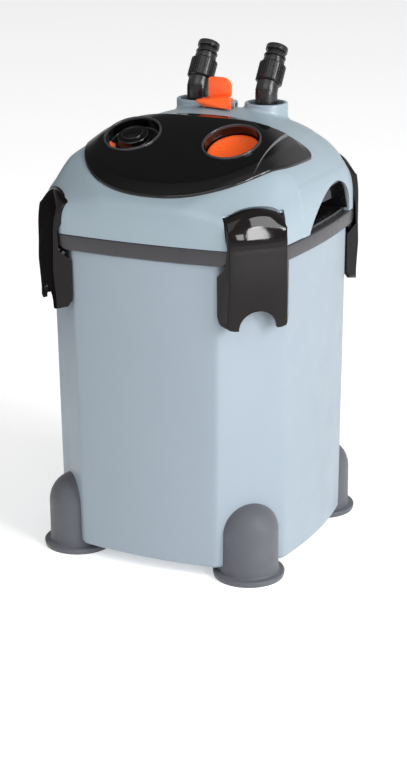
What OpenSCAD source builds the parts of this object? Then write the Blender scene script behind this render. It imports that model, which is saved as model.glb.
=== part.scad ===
// External canister filter: a square canister with a domed motor head held down by four corner latches.
// Units are millimetres. The floor is z = 0, the front faces -Y and the hoses leave at the back of the head.

/* [Canister] */
// Half width over the middle of a body face, at the rim
body_mid = 93.7; // [88:0.1:96]
// Distance from the axis to the cut corner of the body, at the rim
body_cut = 101.7; // [97:0.1:104]
// How much the body narrows on each side from rim to base
body_taper = 2; // [0:0.1:4]
// Radius that each body face bulges with
body_bulge = 315; // [250:1:600]
// Height of the underside of the body above the floor
base_z = 8.4; // [6:0.1:14]
// Height of the top of the body, where the rim band starts
rim_z = 225; // [210:1:240]
// Wall of the canister
wall = 3.2; // [2.4:0.1:4]
// Thickness of the canister floor
floor_t = 4; // [3:0.1:8]
// How much narrower the mouth is than the body, on each side
mouth_step = 9; // [8.6:0.1:11]

/* [Rim band and head] */
// How far the band stands out past the body
band_over = 1.3; // [1:0.1:3]
// How much further the band stands out at its cut corners
band_corner = 6.4; // [5:0.1:8]
// Radius that the band and head faces bulge with
band_bulge = 570; // [400:1:900]
// Height of the band
band_h = 10.5; // [8:0.1:14]
// Height of the dome above the band
dome_h = 74; // [68:0.5:78]
// Share of its height that the dome loses at the front corners
corner_drop = 0.16; // [0:0.01:0.3]
// Wall of the head shell
shell_t = 3; // [2:0.1:4]
// Thickness of the head deck
deck_t = 3; // [2:0.1:5]
// Depth of the skirt that enters the mouth
skirt_h = 10; // [8:0.1:14]
// Height of the control panel above the dome
panel_t = 3.6; // [2:0.1:5]

/* [Wells, knob and button] */
// Distance of each well from the middle
well_x = 37.5; // [34:0.1:42]
// Distance of the wells in front of the axis
well_y = 29; // [24:0.1:34]
// Height of the well rims at their centres
well_z = 294.5; // [291:0.1:297]
// Slope of the wells towards the front
well_tilt = 24.5; // [18:0.5:28]
// Radius of the wells
well_r = 19; // [16:0.1:20]
// Depth of the knob well
knob_well = 7; // [5:0.1:10]
// Radius of the knob
knob_r = 10.3; // [8:0.1:12]
// Radius of the push button
button_r = 18.4; // [12:0.1:18.6]
// Depth of the button face below its rim
button_depth = 6; // [3:0.1:8]
// Travel of the button
button_travel = 5; // [2:0.1:6]

/* [Hoses and lever] */
// Distance of each hose tail from the middle
hose_x = 27; // [25:0.1:30]
// Distance of the hose tails behind the axis
hose_y = 54; // [50:0.1:58]
// Outside radius of the collars
collar_r = 15.6; // [13:0.1:16]
// Height of the collar rims
collar_z = 308.5; // [304:0.1:312]
// Radius of the hose tail pipe
pipe_r = 8; // [7:0.1:9]
// Radius of the water passage
bore_r = 5.6; // [4:0.1:6]
// Height of the bend in the hose tails
bend_z = 316.5; // [314:0.1:330]
// Lean of the hose tails towards the back
tail_lean = 35; // [20:1:40]
// Length of the hose nuts
nut_h = 15; // [10:0.1:18]
// Radius of the hose nuts over their ribs
nut_r = 9.7; // [9:0.1:11]
// Length of the hose barbs
barb_h = 14; // [10:0.1:20]
// Width of the lever tab
tab_w = 16.5; // [12:0.1:18]
// Height of the lever tab above its hinge
tab_h = 21; // [16:0.1:24]

/* [Latches and feet] */
// Width of a latch
latch_w = 40; // [34:0.5:41]
// How far a latch stands out past the corner of the band
latch_over = 4.4; // [4:0.1:6]
// Thickness of a latch cover
latch_t = 3.2; // [2.4:0.1:3.2]
// Height of the lower end of a latch
latch_low = 182; // [170:0.5:195]
// How much higher the rear latches reach than the front ones
rear_rise = 10; // [0:0.5:12]
// How much lower the bend of a latch is at its sides than in the middle
latch_arch = 6; // [3:0.5:8]
// Width of the finger notch
notch_w = 24; // [16:0.5:28]
// Height of the finger notch
notch_h = 10; // [6:0.1:14]
// Distance from the axis to the middle of a foot
foot_d = 95; // [92:0.1:96]
// Radius of a foot
foot_r = 20.6; // [17:0.1:22]
// Radius of the flange of a foot
flange_r = 25; // [23:0.1:26]
// Height of the top of a foot
foot_h = 54; // [40:0.5:70]

/* [Handles] */
// Half width of a hand recess at its lower edge
grip_half = 38.5; // [30:0.5:42]
// Height of a hand recess above the band
grip_h = 26.5; // [22:0.1:28]
// Distance of the hand recesses behind the axis
grip_y = 12.5; // [8:0.1:16]
// Depth of a hand recess
grip_depth = 25; // [15:0.5:27]

/* [Hidden] */

$fn = 64;
run_gap = 0.05;        // radial clearance of a turning fit
fit_gap = 0.3;         // clearance between parts that only pass each other
seat_gap = 0.15;       // clearance between parts that seat in each other
cut = 1;               // how far a cutting solid runs past a face
far = 300;             // a length past every part
root2 = sqrt(2);

mouth_mid = body_mid - mouth_step;
mouth_cut = body_cut - mouth_step;
band_mid = body_mid + band_over;
band_cut = body_cut + band_over + band_corner;
band_z = rim_z;
band_top = rim_z + band_h;
deck_z = band_top;
deck_top = deck_z + deck_t;
shell_z = band_top + 0.2;
neck_mid = mouth_mid + 3.5;
neck_cut = mouth_cut + 4;
shoulder_t = 4;
deck_gap = 0.9;         // between the edge of the deck and the shell
skirt_mid = mouth_mid - 0.5;
skirt_cut = mouth_cut - 0.5;
skirt_t = 3;
seal_h = 3.4;
seal_depth = 1.8;
seal_z = deck_z - skirt_h + 3;

// dome of the head
dome_p = 1.36;
dome_q = 3.5;
dome_mid_y = 30;
slope_start = 40;
slope_rate = 0.068;
slope_power = 1.35;
slope_rise = 3;
dome_blend = 4;
edge_soft = 0.4;       // how softly a face of the head meets a cut corner, at the band
dome_soft = 4;         // the same, higher up
soft_share = 0.05;     // share of the dome over which it grows softer
drop_start = 84;       // distance from the axis at which the front corners start to drop
drop_end = 104;

// latches
latch_d = band_cut + latch_over;               // outer face
nose_r = 10;                                   // outer radius of the bend at the top
hinge_d = latch_d - nose_r;
barrel_r = 4.4;
bend_h = 16.3;                                 // centre of the bend, above the foot of the shell
nose_rise = nose_r - barrel_r - run_gap;       // from there up to the hinge
latch_open = 103.2;                            // degrees that a latch opens through
pocket_gap = 0.4;                              // round the nose as it turns
pocket_side = 1.2;
pocket_r = nose_r - latch_t - 0.7;
pin_r = 1.5;
pin_l = 24;
lug_w = 12;                                    // lug of the head that carries the latch pin
lug_r = 2.8;
lug_neck = 2.2;
cheek_t = 2.5;
cheek_slope = 0.92;
hook_bite = 2.3;
hook_h = 5;
hook_in = 7.5;                                 // pin of a hook bar, from the outer face of the latch
hook_pin_r = 1.2;
latch_flare = 1.4;

// panel and wells
panel_off = 2;
panel_y = -20;
panel_half = 80;
panel_depth = 66;
panel_back = 14;
panel_corner = 7;
rim_over = 1.5;                                // width of a bezel
cup_depth = 24;

// hand recesses and cord gland
grip_in = band_mid - grip_depth;
insert_t = 2;
gland_z = 249;
gland_r = 6;
gland_l = 11.2;

// moving parts under the dome
motor_r = 32;
motor_top = 262;
rotor_r = 9.5;
shaft_r = 1.5;
chamber_r = 26;
chamber_h = 18.5;
cover_t = 3;
lamp_x = (mouth_cut - 14) / root2;
lamp_y = lamp_x;
holder_r = 12;
sleeve_r = 9;
sleeve_z = 140;
lamp_r = 6;
cover_z = deck_z - chamber_h - cover_t;
block_half = lamp_x - holder_r - 0.6;
block_depth = 27;
block_y = hose_y - block_depth / 2;
block_top = 286;
spindle_z = 266;
spindle_r = 9;
socket_h = 7.5;
lever_y = 38;
lever_z = 308;
lever_pin_r = 2;
hub_r = 4.4;
lever_off = -2.2;                              // middle of the tab, measured from the middle of the head
ear_x = tab_w / 2 + 2;
ear_t = 2.5;
slot_h = 48;                                   // slot in the shell for the lever and its bracket
slot_l = 14;
slot_over = 8;

// hose tails
nut_z = 6;
neck_r = pipe_r - 1.6;
ribs = 24;
tail_gap = 0.6;                                // how much narrower the water way is in the tails

// baskets
basket_gap = 3.5;
basket_h = 60;
basket_t = 1.8;
basket_z = base_z + floor_t + 3.6;
notch_r = 11.5;
slot_half = mouth_mid - basket_gap - 21;       // of the slots in the floor of a basket

function sag(mid, bulge, t) = mid - bulge + sqrt(bulge * bulge - t * t);
function corner_t(mid, cut_d, bulge) = let(c = cut_d * root2 - mid + bulge)
    (c - sqrt(2 * bulge * bulge - c * c)) / 2;
function plan(mid, cut_d, bulge, steps = 8) = let(t1 = corner_t(mid, cut_d, bulge))
    [for (k = [0 : 3], i = [0 : steps])
        let(t = -t1 + 2 * t1 * i / steps, s = sag(mid, bulge, t), c = [1, 0, -1, 0][k], d = [0, 1, 0, -1][k])
        [s * c - t * d, s * d + t * c]];

function soft_min(a, b, k) = -k * ln(exp(-a / k) + exp(-b / k));
function ease(t) = let(u = min(1, max(0, t))) u * u * (3 - 2 * u);
// Distance from the axis of the dome to its outline in direction a, at share s of the way out.
function dome_reach(a, s, inset) = let(
    m = max(abs(cos(a)), abs(sin(a))),
    n = min(abs(cos(a)), abs(sin(a))),
    o = band_bulge - band_mid + inset)
    soft_min(-o * m + sqrt(band_bulge * band_bulge - o * o * n * n), (band_cut - inset) * root2 / (m + n),
        edge_soft + (dome_soft - edge_soft) * min(1, (1 - s) / soft_share));
function dome_z(s, x, y, inset) = let(
    a = (dome_h - inset) * pow(max(0, 1 - pow(s, dome_p)), 1 / dome_q),
    b = dome_h + slope_rise - inset - slope_rate * pow(max(slope_start - y, 0), slope_power),
    drop = corner_drop * ease(((abs(x) - y) / root2 - drop_start) / (drop_end - drop_start)))
    band_top - 0.5 + (1 - drop) * soft_min(a, b, dome_blend);

// Solid under the dome surface, pulled in by inset on every side, with its base at z0.
module dome(inset, z0, around = 72, rings = 12) {
    points = concat(
        [for (j = [0 : rings - 1], i = [0 : around - 1])
            let(s = 1 - pow(j / rings, 3), a = 360 * i / around, r = dome_reach(a, s, inset),
                x = s * r * cos(a), y = s * r * sin(a) + (1 - s) * dome_mid_y)
            [x, y, j == 0 ? z0 : dome_z(s, x, y, inset)]],
        [[0, dome_mid_y, dome_z(0, 0, dome_mid_y, inset)]]);
    faces = concat(
        [[for (i = [0 : around - 1]) i]],
        [for (j = [0 : rings - 2], i = [0 : around - 1])
            let(n = (i + 1) % around) [j * around + i, (j + 1) * around + i, (j + 1) * around + n]],
        [for (j = [0 : rings - 2], i = [0 : around - 1])
            let(n = (i + 1) % around) [j * around + i, (j + 1) * around + n, j * around + n]],
        [for (i = [0 : around - 1])
            [(rings - 1) * around + i, rings * around, (rings - 1) * around + (i + 1) % around]]);
    polyhedron(points, faces);
}

module prism(z0, z1, mid, cut_d, bulge = body_bulge) {
    translate([0, 0, z0]) linear_extrude(z1 - z0) polygon(plan(mid, cut_d, bulge));
}

// Tapered body solid between two heights, pulled in by inset.
module tapered(z0, z1, inset) {
    slice = 0.01;
    fall = body_taper / (rim_z - base_z);
    hull() {
        prism(z0, z0 + slice, body_mid - inset - fall * (rim_z - z0),
            body_cut - inset - 1.6 * fall * (rim_z - z0));
        prism(z1 - slice, z1, body_mid - inset - fall * (rim_z - z1),
            body_cut - inset - 1.6 * fall * (rim_z - z1));
    }
}

module at_corner(i) rotate([0, 0, 45 + 90 * i]) children();
module at_well(side) translate([side * well_x, -well_y, well_z]) rotate([well_tilt, 0, 0]) children();
module along_w(width) rotate([90, 0, 0]) linear_extrude(width, center = true) children();
module well_hole() translate([0, 0, -far / 8]) cylinder(r = well_r + rim_over + 0.2, h = far / 4);
module ring(r_out, r_in, h) difference() {
    cylinder(r = r_out, h = h);
    translate([0, 0, -cut]) cylinder(r = r_in, h = h + 2 * cut);
}

module canister() color("LightSteelBlue") difference() {
    union() {
        tapered(base_z, rim_z, 0);
        prism(rim_z, band_top - 0.5, neck_mid, neck_cut);
    }
    tapered(base_z + floor_t, rim_z - shoulder_t, wall);
    prism(rim_z - shoulder_t - cut, band_top + cut, mouth_mid, mouth_cut);
}

module rim_band() color("DimGray") difference() {
    prism(band_z, band_top, band_mid, band_cut, band_bulge);
    prism(band_z - cut, band_top + cut, neck_mid + seat_gap, neck_cut + seat_gap);
    for (i = [0 : 3]) at_corner(i) along_w(2 * band_mid)
        polygon([[band_cut - hook_bite, band_z - 0.01], [band_cut + cut, band_z - 0.01],
            [band_cut + cut, band_z + hook_bite + cut], [band_cut, band_z + hook_bite]]);
}

module seal_ring() color("DarkSlateGray") difference() {
    prism(seal_z, seal_z + seal_h, mouth_mid - seat_gap, mouth_cut - seat_gap);
    prism(seal_z - cut, seal_z + seal_h + cut, skirt_mid - seal_depth, skirt_cut - seal_depth);
}

module head_deck() color("DimGray") difference() {
    union() {
        prism(deck_z, deck_top, band_mid - shell_t - deck_gap, band_cut - shell_t - deck_gap, band_bulge);
        difference() {
            prism(deck_z - skirt_h, deck_z, skirt_mid, skirt_cut);
            prism(deck_z - skirt_h - cut, deck_z, skirt_mid - skirt_t, skirt_cut - skirt_t);
            difference() {
                prism(seal_z, seal_z + seal_h, skirt_mid + cut, skirt_cut + cut);
                prism(seal_z - cut, seal_z + seal_h + cut, skirt_mid - seal_depth, skirt_cut - seal_depth);
            }
        }
        translate([lamp_x, lamp_y, deck_z - 14]) cylinder(r = 7.4, h = 14 + deck_t);
    }
    translate([lamp_x, lamp_y, deck_z - 14 - cut]) cylinder(r = bore_r, h = 14 + deck_t + 2 * cut);
    translate([-lamp_x, lamp_y, deck_z - cut]) cylinder(r = sleeve_r + seat_gap, h = deck_t + 2 * cut);
    translate([0, 0, deck_z - cut]) cylinder(r = rotor_r + 1.5, h = deck_t + 2 * cut);
}

function bend_z_at(i) = shell_z + bend_h + (i < 2 ? rear_rise : 0);
function hinge_z_at(i) = bend_z_at(i) + nose_rise;
module at_hinge(i) at_corner(i) translate([hinge_d, 0, hinge_z_at(i)]) children();

// Distance from the hinge to the outer face of the nose, in direction a.
function nose_reach(a) = -nose_rise * sin(a) + sqrt(nose_r * nose_r - pow(nose_rise * cos(a), 2));

// Space in a corner of the shell that the nose of a latch turns in, seen from its hinge.
module latch_pocket() difference() {
    union() {
        along_w(latch_w + 2 * pocket_side) difference() {
            polygon(concat(
                [[0, 0]],
                [for (a = [latch_open + 90 : -10 : 20])
                    let(r = pocket_gap + nose_reach(a - latch_open)) [r * cos(a), r * sin(a)]],
                [[30, 20], [30, -nose_rise], [0, -nose_rise]]));
            translate([0, -nose_rise]) circle(pocket_r);
        }
        along_w(latch_w + 2 * pocket_side) circle(barrel_r + 0.6);
    }
    along_w(lug_w) {
        circle(lug_r);
        translate([-lug_neck, -barrel_r - 2]) square([2 * lug_neck, barrel_r + 2]);
    }
}

module grip_outline(inset = 0) {
    corner_r = grip_h / 2 + 0.5 - inset;
    translate([grip_y, shell_z]) hull() {
        for (s = [-1, 1]) translate([s * grip_half * 0.51, grip_h - corner_r - inset]) circle(corner_r);
        translate([-grip_half + inset, -3]) square([2 * (grip_half - inset), 3 + inset]);
    }
}

// Hand recess cut, on the right for side = 1 and on the left for side = -1.
module grip_space(side, inset, x0, x1) mirror([side < 0 ? 1 : 0, 0, 0])
    translate([x0, 0, 0]) rotate([90, 0, 90]) linear_extrude(x1 - x0) grip_outline(inset);

module head_shell() color("LightSteelBlue") difference() {
    dome(0, shell_z);
    difference() {
        dome(shell_t, shell_z - cut, 72, 9);
        for (i = [0 : 3]) at_corner(i) translate([hinge_d - barrel_r - 0.8 - shell_t, -band_mid, bend_z_at(i) - 8])
            cube([60, 2 * band_mid, 60]);
    }
    for (i = [0 : 3]) at_hinge(i) {
        latch_pocket();
        rotate([90, 0, 0]) cylinder(r = pin_r + run_gap, h = 2 * lug_w, center = true);
    }
    for (side = [-1, 1]) {
        at_well(side) well_hole();
        translate([side * hose_x, hose_y, band_top]) cylinder(r = collar_r + seat_gap, h = dome_h + 20);
        grip_space(side, 0, grip_in - 1, band_mid + 2);
    }
    translate([lever_off, lever_y - 1, lever_z - slot_h / 2 + slot_over])
        cube([tab_w + 11, slot_l, slot_h], center = true);
    translate([0, 60, gland_z]) rotate([-90, 0, 0]) cylinder(r = gland_r + seat_gap, h = 60);
}

// Outline of the control panel: an ellipse, cut straight at the back.
module panel_outline() offset(r = panel_corner) offset(delta = -panel_corner) intersection() {
    translate([panel_off, panel_y]) scale([panel_half / panel_depth, 1]) circle(panel_depth, $fn = 96);
    translate([-far, -far]) square([2 * far, far + panel_back]);
}
module control_panel() color("Black") difference() {
    intersection() {
        dome(-panel_t, shell_z);
        translate([0, 0, band_top]) linear_extrude(dome_h + 30) panel_outline();
    }
    dome(0, shell_z - cut);
    for (side = [-1, 1]) at_well(side) well_hole();
}

module bezel(side) color("DarkSlateGray") at_well(side) ring(well_r + rim_over, well_r, 1.6);
module bezel_left() bezel(-1);
module bezel_right() bezel(1);

module knob_cup() color("Black") at_well(-1) difference() {
    translate([0, 0, -knob_well - 3]) cylinder(r = well_r + rim_over, h = knob_well + 3);
    translate([0, 0, -knob_well]) cylinder(r = well_r, h = knob_well + cut);
    translate([0, 0, -knob_well - 3 - cut]) cylinder(r = 3 + run_gap, h = 10);
}
module knob_ring() color("OrangeRed") at_well(-1) translate([0, 0, -knob_well]) ring(17, 14.6, 0.8);
module knob() color("Black") at_well(-1) {
    translate([0, 0, -knob_well + fit_gap]) cylinder(r = knob_r, h = 4);
    translate([0, 0, -knob_well + fit_gap + 4]) cylinder(r1 = knob_r - 1, r2 = knob_r - 1.6, h = 3);
    translate([0, 0, -knob_well + fit_gap + 7]) cylinder(r1 = knob_r - 2.6, r2 = knob_r - 4, h = 1.8);
    translate([0, 0, -knob_well - 6]) cylinder(r = 3, h = 8);
}

module prime_cup() color("Black") at_well(1) difference() {
    translate([0, 0, -cup_depth]) cylinder(r = well_r + rim_over, h = cup_depth);
    translate([0, 0, -cup_depth + 2.5]) cylinder(r = well_r, h = cup_depth);
    translate([0, 0, -cup_depth - cut]) cylinder(r = 6 + run_gap, h = 10);
}
module prime_button() color("OrangeRed") at_well(1) {
    translate([0, 0, -button_depth - 5]) cylinder(r = button_r, h = 5);
    translate([0, 0, -cup_depth - 1]) cylinder(r = 6, h = cup_depth + 1 - button_depth - 3);
}

module port_block() color("DimGray") difference() {
    translate([-block_half, block_y, deck_top])
        cube([2 * block_half, block_depth, block_top - deck_top]);
    for (side = [-1, 1]) translate([side * hose_x, hose_y, 0]) {
        translate([0, 0, deck_top - cut]) cylinder(r = bore_r, h = 80);
        translate([0, 0, block_top - socket_h]) cylinder(r = pipe_r + run_gap, h = 20);
    }
    translate([0, hose_y, spindle_z]) rotate([0, 90, 0])
        cylinder(r = spindle_r + run_gap, h = 2 * block_half + 2 * cut, center = true);
}
module valve_spindle() color("Silver") translate([0, hose_y, spindle_z]) difference() {
    rotate([0, 90, 0]) cylinder(r = spindle_r, h = 2 * block_half, center = true);
    for (side = [-1, 1]) translate([side * hose_x, 0, -20]) cylinder(r = bore_r, h = 40);
}

module collar(side) color("LightSteelBlue") translate([side * hose_x, hose_y, block_top])
    ring(collar_r, collar_r - 3, collar_z - block_top);
module collar_left() collar(-1);
module collar_right() collar(1);

module lever_bracket() color("DimGray") difference() {
    union() {
        for (s = [-1, 1]) translate([lever_off + s * (ear_x + ear_t / 2), lever_y, 0]) {
            translate([-ear_t / 2, -3.5, motor_top]) cube([ear_t, block_y - lever_y + 3.5, lever_z - motor_top]);
            translate([0, 0, lever_z]) rotate([0, 90, 0]) cylinder(r = 3.5, h = ear_t, center = true);
        }
        translate([lever_off - ear_x - ear_t, lever_y - 10, deck_top])
            cube([2 * (ear_x + ear_t), block_y - lever_y + 10, motor_top + 6 - deck_top]);
    }
    translate([lever_off, lever_y, lever_z]) rotate([0, 90, 0])
        cylinder(r = lever_pin_r, h = 4 * ear_x, center = true);
    cylinder(r = motor_r, h = motor_top + 20);
}
module lever_pin() color("Silver") translate([lever_off, lever_y, lever_z]) rotate([0, 90, 0])
    cylinder(r = lever_pin_r, h = 2 * (ear_x + ear_t), center = true);

module lever() color("OrangeRed") difference() {
    union() {
        translate([lever_off, lever_y, lever_z]) rotate([0, 90, 0]) cylinder(r = hub_r, h = 2 * ear_x - 0.6, center = true);
        translate([lever_off - tab_w / 2, lever_y, lever_z]) {
            cube([tab_w, 3.6, tab_h - 4]);
            translate([0, 0, tab_h - 5]) cube([tab_w - 4, 3.6, 5]);
            translate([tab_w - 5, 0, tab_h - 5]) rotate([-90, 0, 0]) cylinder(r = 5, h = 3.6);
        }
        hull() {
            translate([-9, lever_y - 2, lever_z + 3.6]) sphere(1.6, $fn = 20);
            translate([5, lever_y - 2, lever_z + 4.4]) sphere(1.6, $fn = 20);
            translate([-16, 26, lever_z + 2.8]) sphere(1.2, $fn = 20);
            translate([7.5, 29, lever_z + 5.4]) sphere(1.2, $fn = 20);
            translate([13.6, 22, lever_z - 0.2]) sphere(1.2, $fn = 20);
            translate([-9, 27, lever_z + 0.9]) sphere(1.2, $fn = 20);
        }
    }
    translate([lever_off, lever_y, lever_z]) rotate([0, 90, 0])
        cylinder(r = lever_pin_r + run_gap, h = 4 * ear_x, center = true);
}

module at_hose(side) translate([side * hose_x, hose_y, 0]) children();
module at_tail(side) at_hose(side) translate([0, 0, bend_z]) rotate([-tail_lean, 0, 0]) children();

module hose_tail(side) color("Black") difference() {
    union() {
        at_hose(side) {
            translate([0, 0, block_top - socket_h + fit_gap])
                cylinder(r = pipe_r, h = bend_z - block_top + socket_h - fit_gap);
            translate([0, 0, bend_z]) sphere(pipe_r);
        }
        at_tail(side) {
            cylinder(r = pipe_r, h = nut_z - 0.2);
            cylinder(r = neck_r, h = nut_z + nut_h + barb_h);
            translate([0, 0, nut_z + nut_h + 0.2]) cylinder(r = pipe_r - 0.2, h = 3);
            translate([0, 0, nut_z + nut_h + 5]) cylinder(r1 = pipe_r, r2 = neck_r, h = 4);
            translate([0, 0, nut_z + nut_h + barb_h - 4]) cylinder(r = pipe_r, h = 4);
        }
    }
    at_hose(side) {
        translate([0, 0, block_top - socket_h - cut])
            cylinder(r = bore_r - tail_gap, h = bend_z - block_top + socket_h + cut);
        translate([0, 0, bend_z]) sphere(bore_r - tail_gap);
    }
    at_tail(side) cylinder(r = bore_r - tail_gap, h = nut_z + nut_h + barb_h + cut);
}
module hose_tail_left() hose_tail(-1);
module hose_tail_right() hose_tail(1);

module tail_seals() color("DarkSlateGray") for (side = [-1, 1])
    translate([side * hose_x, hose_y, block_top]) ring(collar_r - 3 - seat_gap, pipe_r + seat_gap, 3);

module hose_nut(side) color("Black") at_tail(side) translate([0, 0, nut_z]) difference() {
    linear_extrude(nut_h) polygon([for (i = [0 : 4 * ribs - 1])
        let(r = (i % 4 < 2) ? nut_r : nut_r - 0.6, a = 90 * i / ribs) [r * cos(a), r * sin(a)]]);
    translate([0, 0, -cut]) cylinder(r = neck_r + run_gap, h = nut_h + 2 * cut);
}
module hose_nut_left() hose_nut(-1);
module hose_nut_right() hose_nut(1);

module handle_insert(side) color("Black") difference() {
    intersection() {
        grip_space(side, seat_gap, grip_in - insert_t + 1.2, band_mid + 2);
        dome(1.2, shell_z);
        translate([0, 0, 50 + deck_top]) cube([400, 400, 100], center = true);
    }
    grip_space(side, insert_t + seat_gap, grip_in + 1.2, band_mid + 4);
}
module handle_insert_left() handle_insert(-1);
module handle_insert_right() handle_insert(1);

// Latch cover: a bent plate that hangs from its hinge, with two cheeks that reach back to the body.
function arc(i, r, a0, a1, steps = 12) = [for (k = [0 : steps])
    let(a = a0 + (a1 - a0) * k / steps) [hinge_d + r * cos(a), bend_z_at(i) + r * sin(a)]];
module latch_profile(i) polygon(concat(
    arc(i, nose_r, 90, 0),
    [[latch_d, rim_z], [latch_d + latch_flare, latch_low + 6], [latch_d + latch_flare, latch_low],
        [latch_d - latch_t + latch_flare, latch_low], [latch_d - latch_t, rim_z]],
    arc(i, nose_r - latch_t, 0, 90)));
function chamfer_d(z) = body_cut - 1.6 * body_taper * (rim_z - z) / (rim_z - base_z);
// The upper edge of a cheek slopes, so that it swings clear of the ledge under the band as the head rises.
module latch_cheek(i) {
    low = latch_low + 3;
    top = rim_z - 0.6;
    inner = top - cheek_slope * (band_cut - chamfer_d(top));
    polygon([[latch_d - 0.5, low], [latch_d - 0.5, top], [band_cut + 0.6, top],
        [chamfer_d(inner) + fit_gap, inner], [chamfer_d(low) + fit_gap + 1.5, low]]);
    polygon([[latch_d - 0.5, top - 1], [latch_d - 0.5, bend_z_at(i)], [band_cut + 0.6, bend_z_at(i)],
        [band_cut + 0.6, top - 1]]);
}
// Space over the arched top of a latch.
module over_arch(i) {
    arch_r = (pow(latch_w / 2, 2) + pow(latch_arch, 2)) / (2 * latch_arch);
    top = bend_z_at(i) + nose_r;
    difference() {
        translate([0, -far / 2, top - arch_r + 10]) cube([far, far, far]);
        translate([0, 0, top - arch_r]) rotate([0, 90, 0]) cylinder(r = arch_r, h = far, $fn = 96);
    }
}
module latch(i) color("Black") difference() {
    at_corner(i) difference() {
        union() {
            along_w(latch_w) latch_profile(i);
            translate([hinge_d, 0, hinge_z_at(i)]) rotate([90, 0, 0]) cylinder(r = barrel_r, h = latch_w, center = true);
            for (s = [-1, 1]) translate([0, s * (latch_w / 2 - cheek_t / 2 + 0.3), 0]) along_w(cheek_t) latch_cheek(i);
        }
        over_arch(i);
        translate([latch_d - 10, 0, latch_low]) {
            translate([0, -notch_w / 2 + 5, -cut]) cube([20, notch_w - 10, notch_h + cut]);
            translate([0, -notch_w / 2, -cut]) cube([20, notch_w, notch_h + cut - 5]);
            for (s = [-1, 1]) translate([0, s * (notch_w / 2 - 5), notch_h - 5]) rotate([0, 90, 0])
                cylinder(r = 5, h = 20);
        }
        for (s = [-1, 1]) translate([latch_d - hook_in, s * latch_w / 2, rim_z - 3]) rotate([90, 0, 0])
            cylinder(r = hook_pin_r, h = 2 * cheek_t + 2, center = true);
    }
    at_hinge(i) {
        along_w(lug_w + 2 * fit_gap) {
            circle(lug_r + fit_gap);
            translate([-10, -10]) square([10 - lug_r / 2, 14]);
            translate([-lug_r, -10]) square([2 * lug_r + 0.4, 10]);
        }
        rotate([90, 0, 0]) cylinder(r = pin_r + run_gap, h = pin_l + 2 * fit_gap, center = true);
    }
}
module latch_rr() latch(0);
module latch_rl() latch(1);
module latch_fl() latch(2);
module latch_fr() latch(3);

// Hook bar between the cheeks, with a sloping face that bears under the chamfered edge of the band.
module latch_hook(i) color("DimGray") at_corner(i) {
    along_w(latch_w - 2 * cheek_t + 0.2) polygon([
        [latch_d - latch_t - 0.05, rim_z - hook_h],
        [latch_d - latch_t - 0.05, rim_z + 0.6],
        [band_cut + 0.5, rim_z + 0.6],
        [band_cut - hook_bite + 0.6, rim_z - 1.2],
        [band_cut - hook_bite + 0.6, rim_z - hook_h + 1]]);
    translate([latch_d - hook_in, 0, rim_z - 3]) rotate([90, 0, 0])
        cylinder(r = hook_pin_r, h = latch_w + 0.6, center = true);
}
module latch_hook_rr() latch_hook(0);
module latch_hook_rl() latch_hook(1);
module latch_hook_fl() latch_hook(2);
module latch_hook_fr() latch_hook(3);

module latch_pins() color("Silver") for (i = [0 : 3]) at_hinge(i)
    rotate([90, 0, 0]) cylinder(r = pin_r, h = pin_l, center = true);

module foot(i) color("DarkSlateGray") difference() {
    at_corner(i) translate([foot_d, 0, 0]) {
        cylinder(r = flange_r, h = 4);
        cylinder(r = foot_r, h = foot_h - foot_r);
        translate([0, 0, foot_h - foot_r]) sphere(foot_r);
    }
    tapered(base_z, rim_z, 0);
    at_corner(i) translate([foot_d - 6, 0, -cut]) {
        cylinder(r = 2, h = 30);
        cylinder(r = 4.2, h = 3.5 + cut);
    }
}
module foot_rr() foot(0);
module foot_rl() foot(1);
module foot_fl() foot(2);
module foot_fr() foot(3);

module foot_screws() color("Silver") for (i = [0 : 3]) at_corner(i) translate([foot_d - 6, 0, 1]) {
    cylinder(r = 2, h = base_z - 1);
    cylinder(r = 4, h = 2.5);
}

module motor_housing() color("DimGray") difference() {
    translate([0, 0, deck_top]) cylinder(r = motor_r, h = motor_top - deck_top);
    translate([0, 0, deck_top - cut]) cylinder(r = rotor_r + 0.7, h = motor_top - deck_top - 3);
    translate([0, 0, deck_top - cut]) cylinder(r = shaft_r, h = motor_top - deck_top - 1);
}
module impeller_shaft() color("White") translate([0, 0, cover_z]) cylinder(r = shaft_r, h = motor_top - 2 - cover_z);
module impeller() color("SteelBlue") difference() {
    union() {
        translate([0, 0, deck_z - 2]) cylinder(r = rotor_r, h = motor_top - 7 - deck_z);
        translate([0, 0, deck_z - 16]) cylinder(r = 4, h = 15);
        translate([0, 0, deck_z - 4]) cylinder(r = 19, h = 2);
        for (k = [0 : 5]) rotate([0, 0, 60 * k]) translate([3, -0.8, deck_z - 16]) cube([16, 1.6, 13]);
    }
    translate([0, 0, deck_z - 20]) cylinder(r = shaft_r + run_gap, h = 50);
}
module pump_chamber() color("DimGray") difference() {
    translate([0, 0, deck_z - chamber_h]) union() {
        cylinder(r = chamber_r, h = chamber_h);
        translate([0, chamber_r - 14, 0]) cube([36, 14, chamber_h]);
    }
    translate([0, 0, deck_z - chamber_h - cut]) cylinder(r = chamber_r - 3, h = chamber_h + 2 * cut);
    translate([10, chamber_r - 11, deck_z - chamber_h + 3]) cube([30, 8, chamber_h - 6]);
}
module chamber_cover() color("Black") difference() {
    translate([0, 0, cover_z]) cylinder(r = chamber_r, h = cover_t);
    difference() {
        translate([0, 0, cover_z - cut]) cylinder(r = 10, h = cover_t + 2 * cut);
        for (k = [0 : 2]) rotate([0, 0, 120 * k]) translate([0, -1.2, cover_z - cut]) cube([12, 2.4, 10]);
        translate([0, 0, cover_z - cut]) cylinder(r = 3.5, h = 10);
    }
    translate([0, 0, cover_z - cut]) cylinder(r = shaft_r, h = 10);
}
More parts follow.
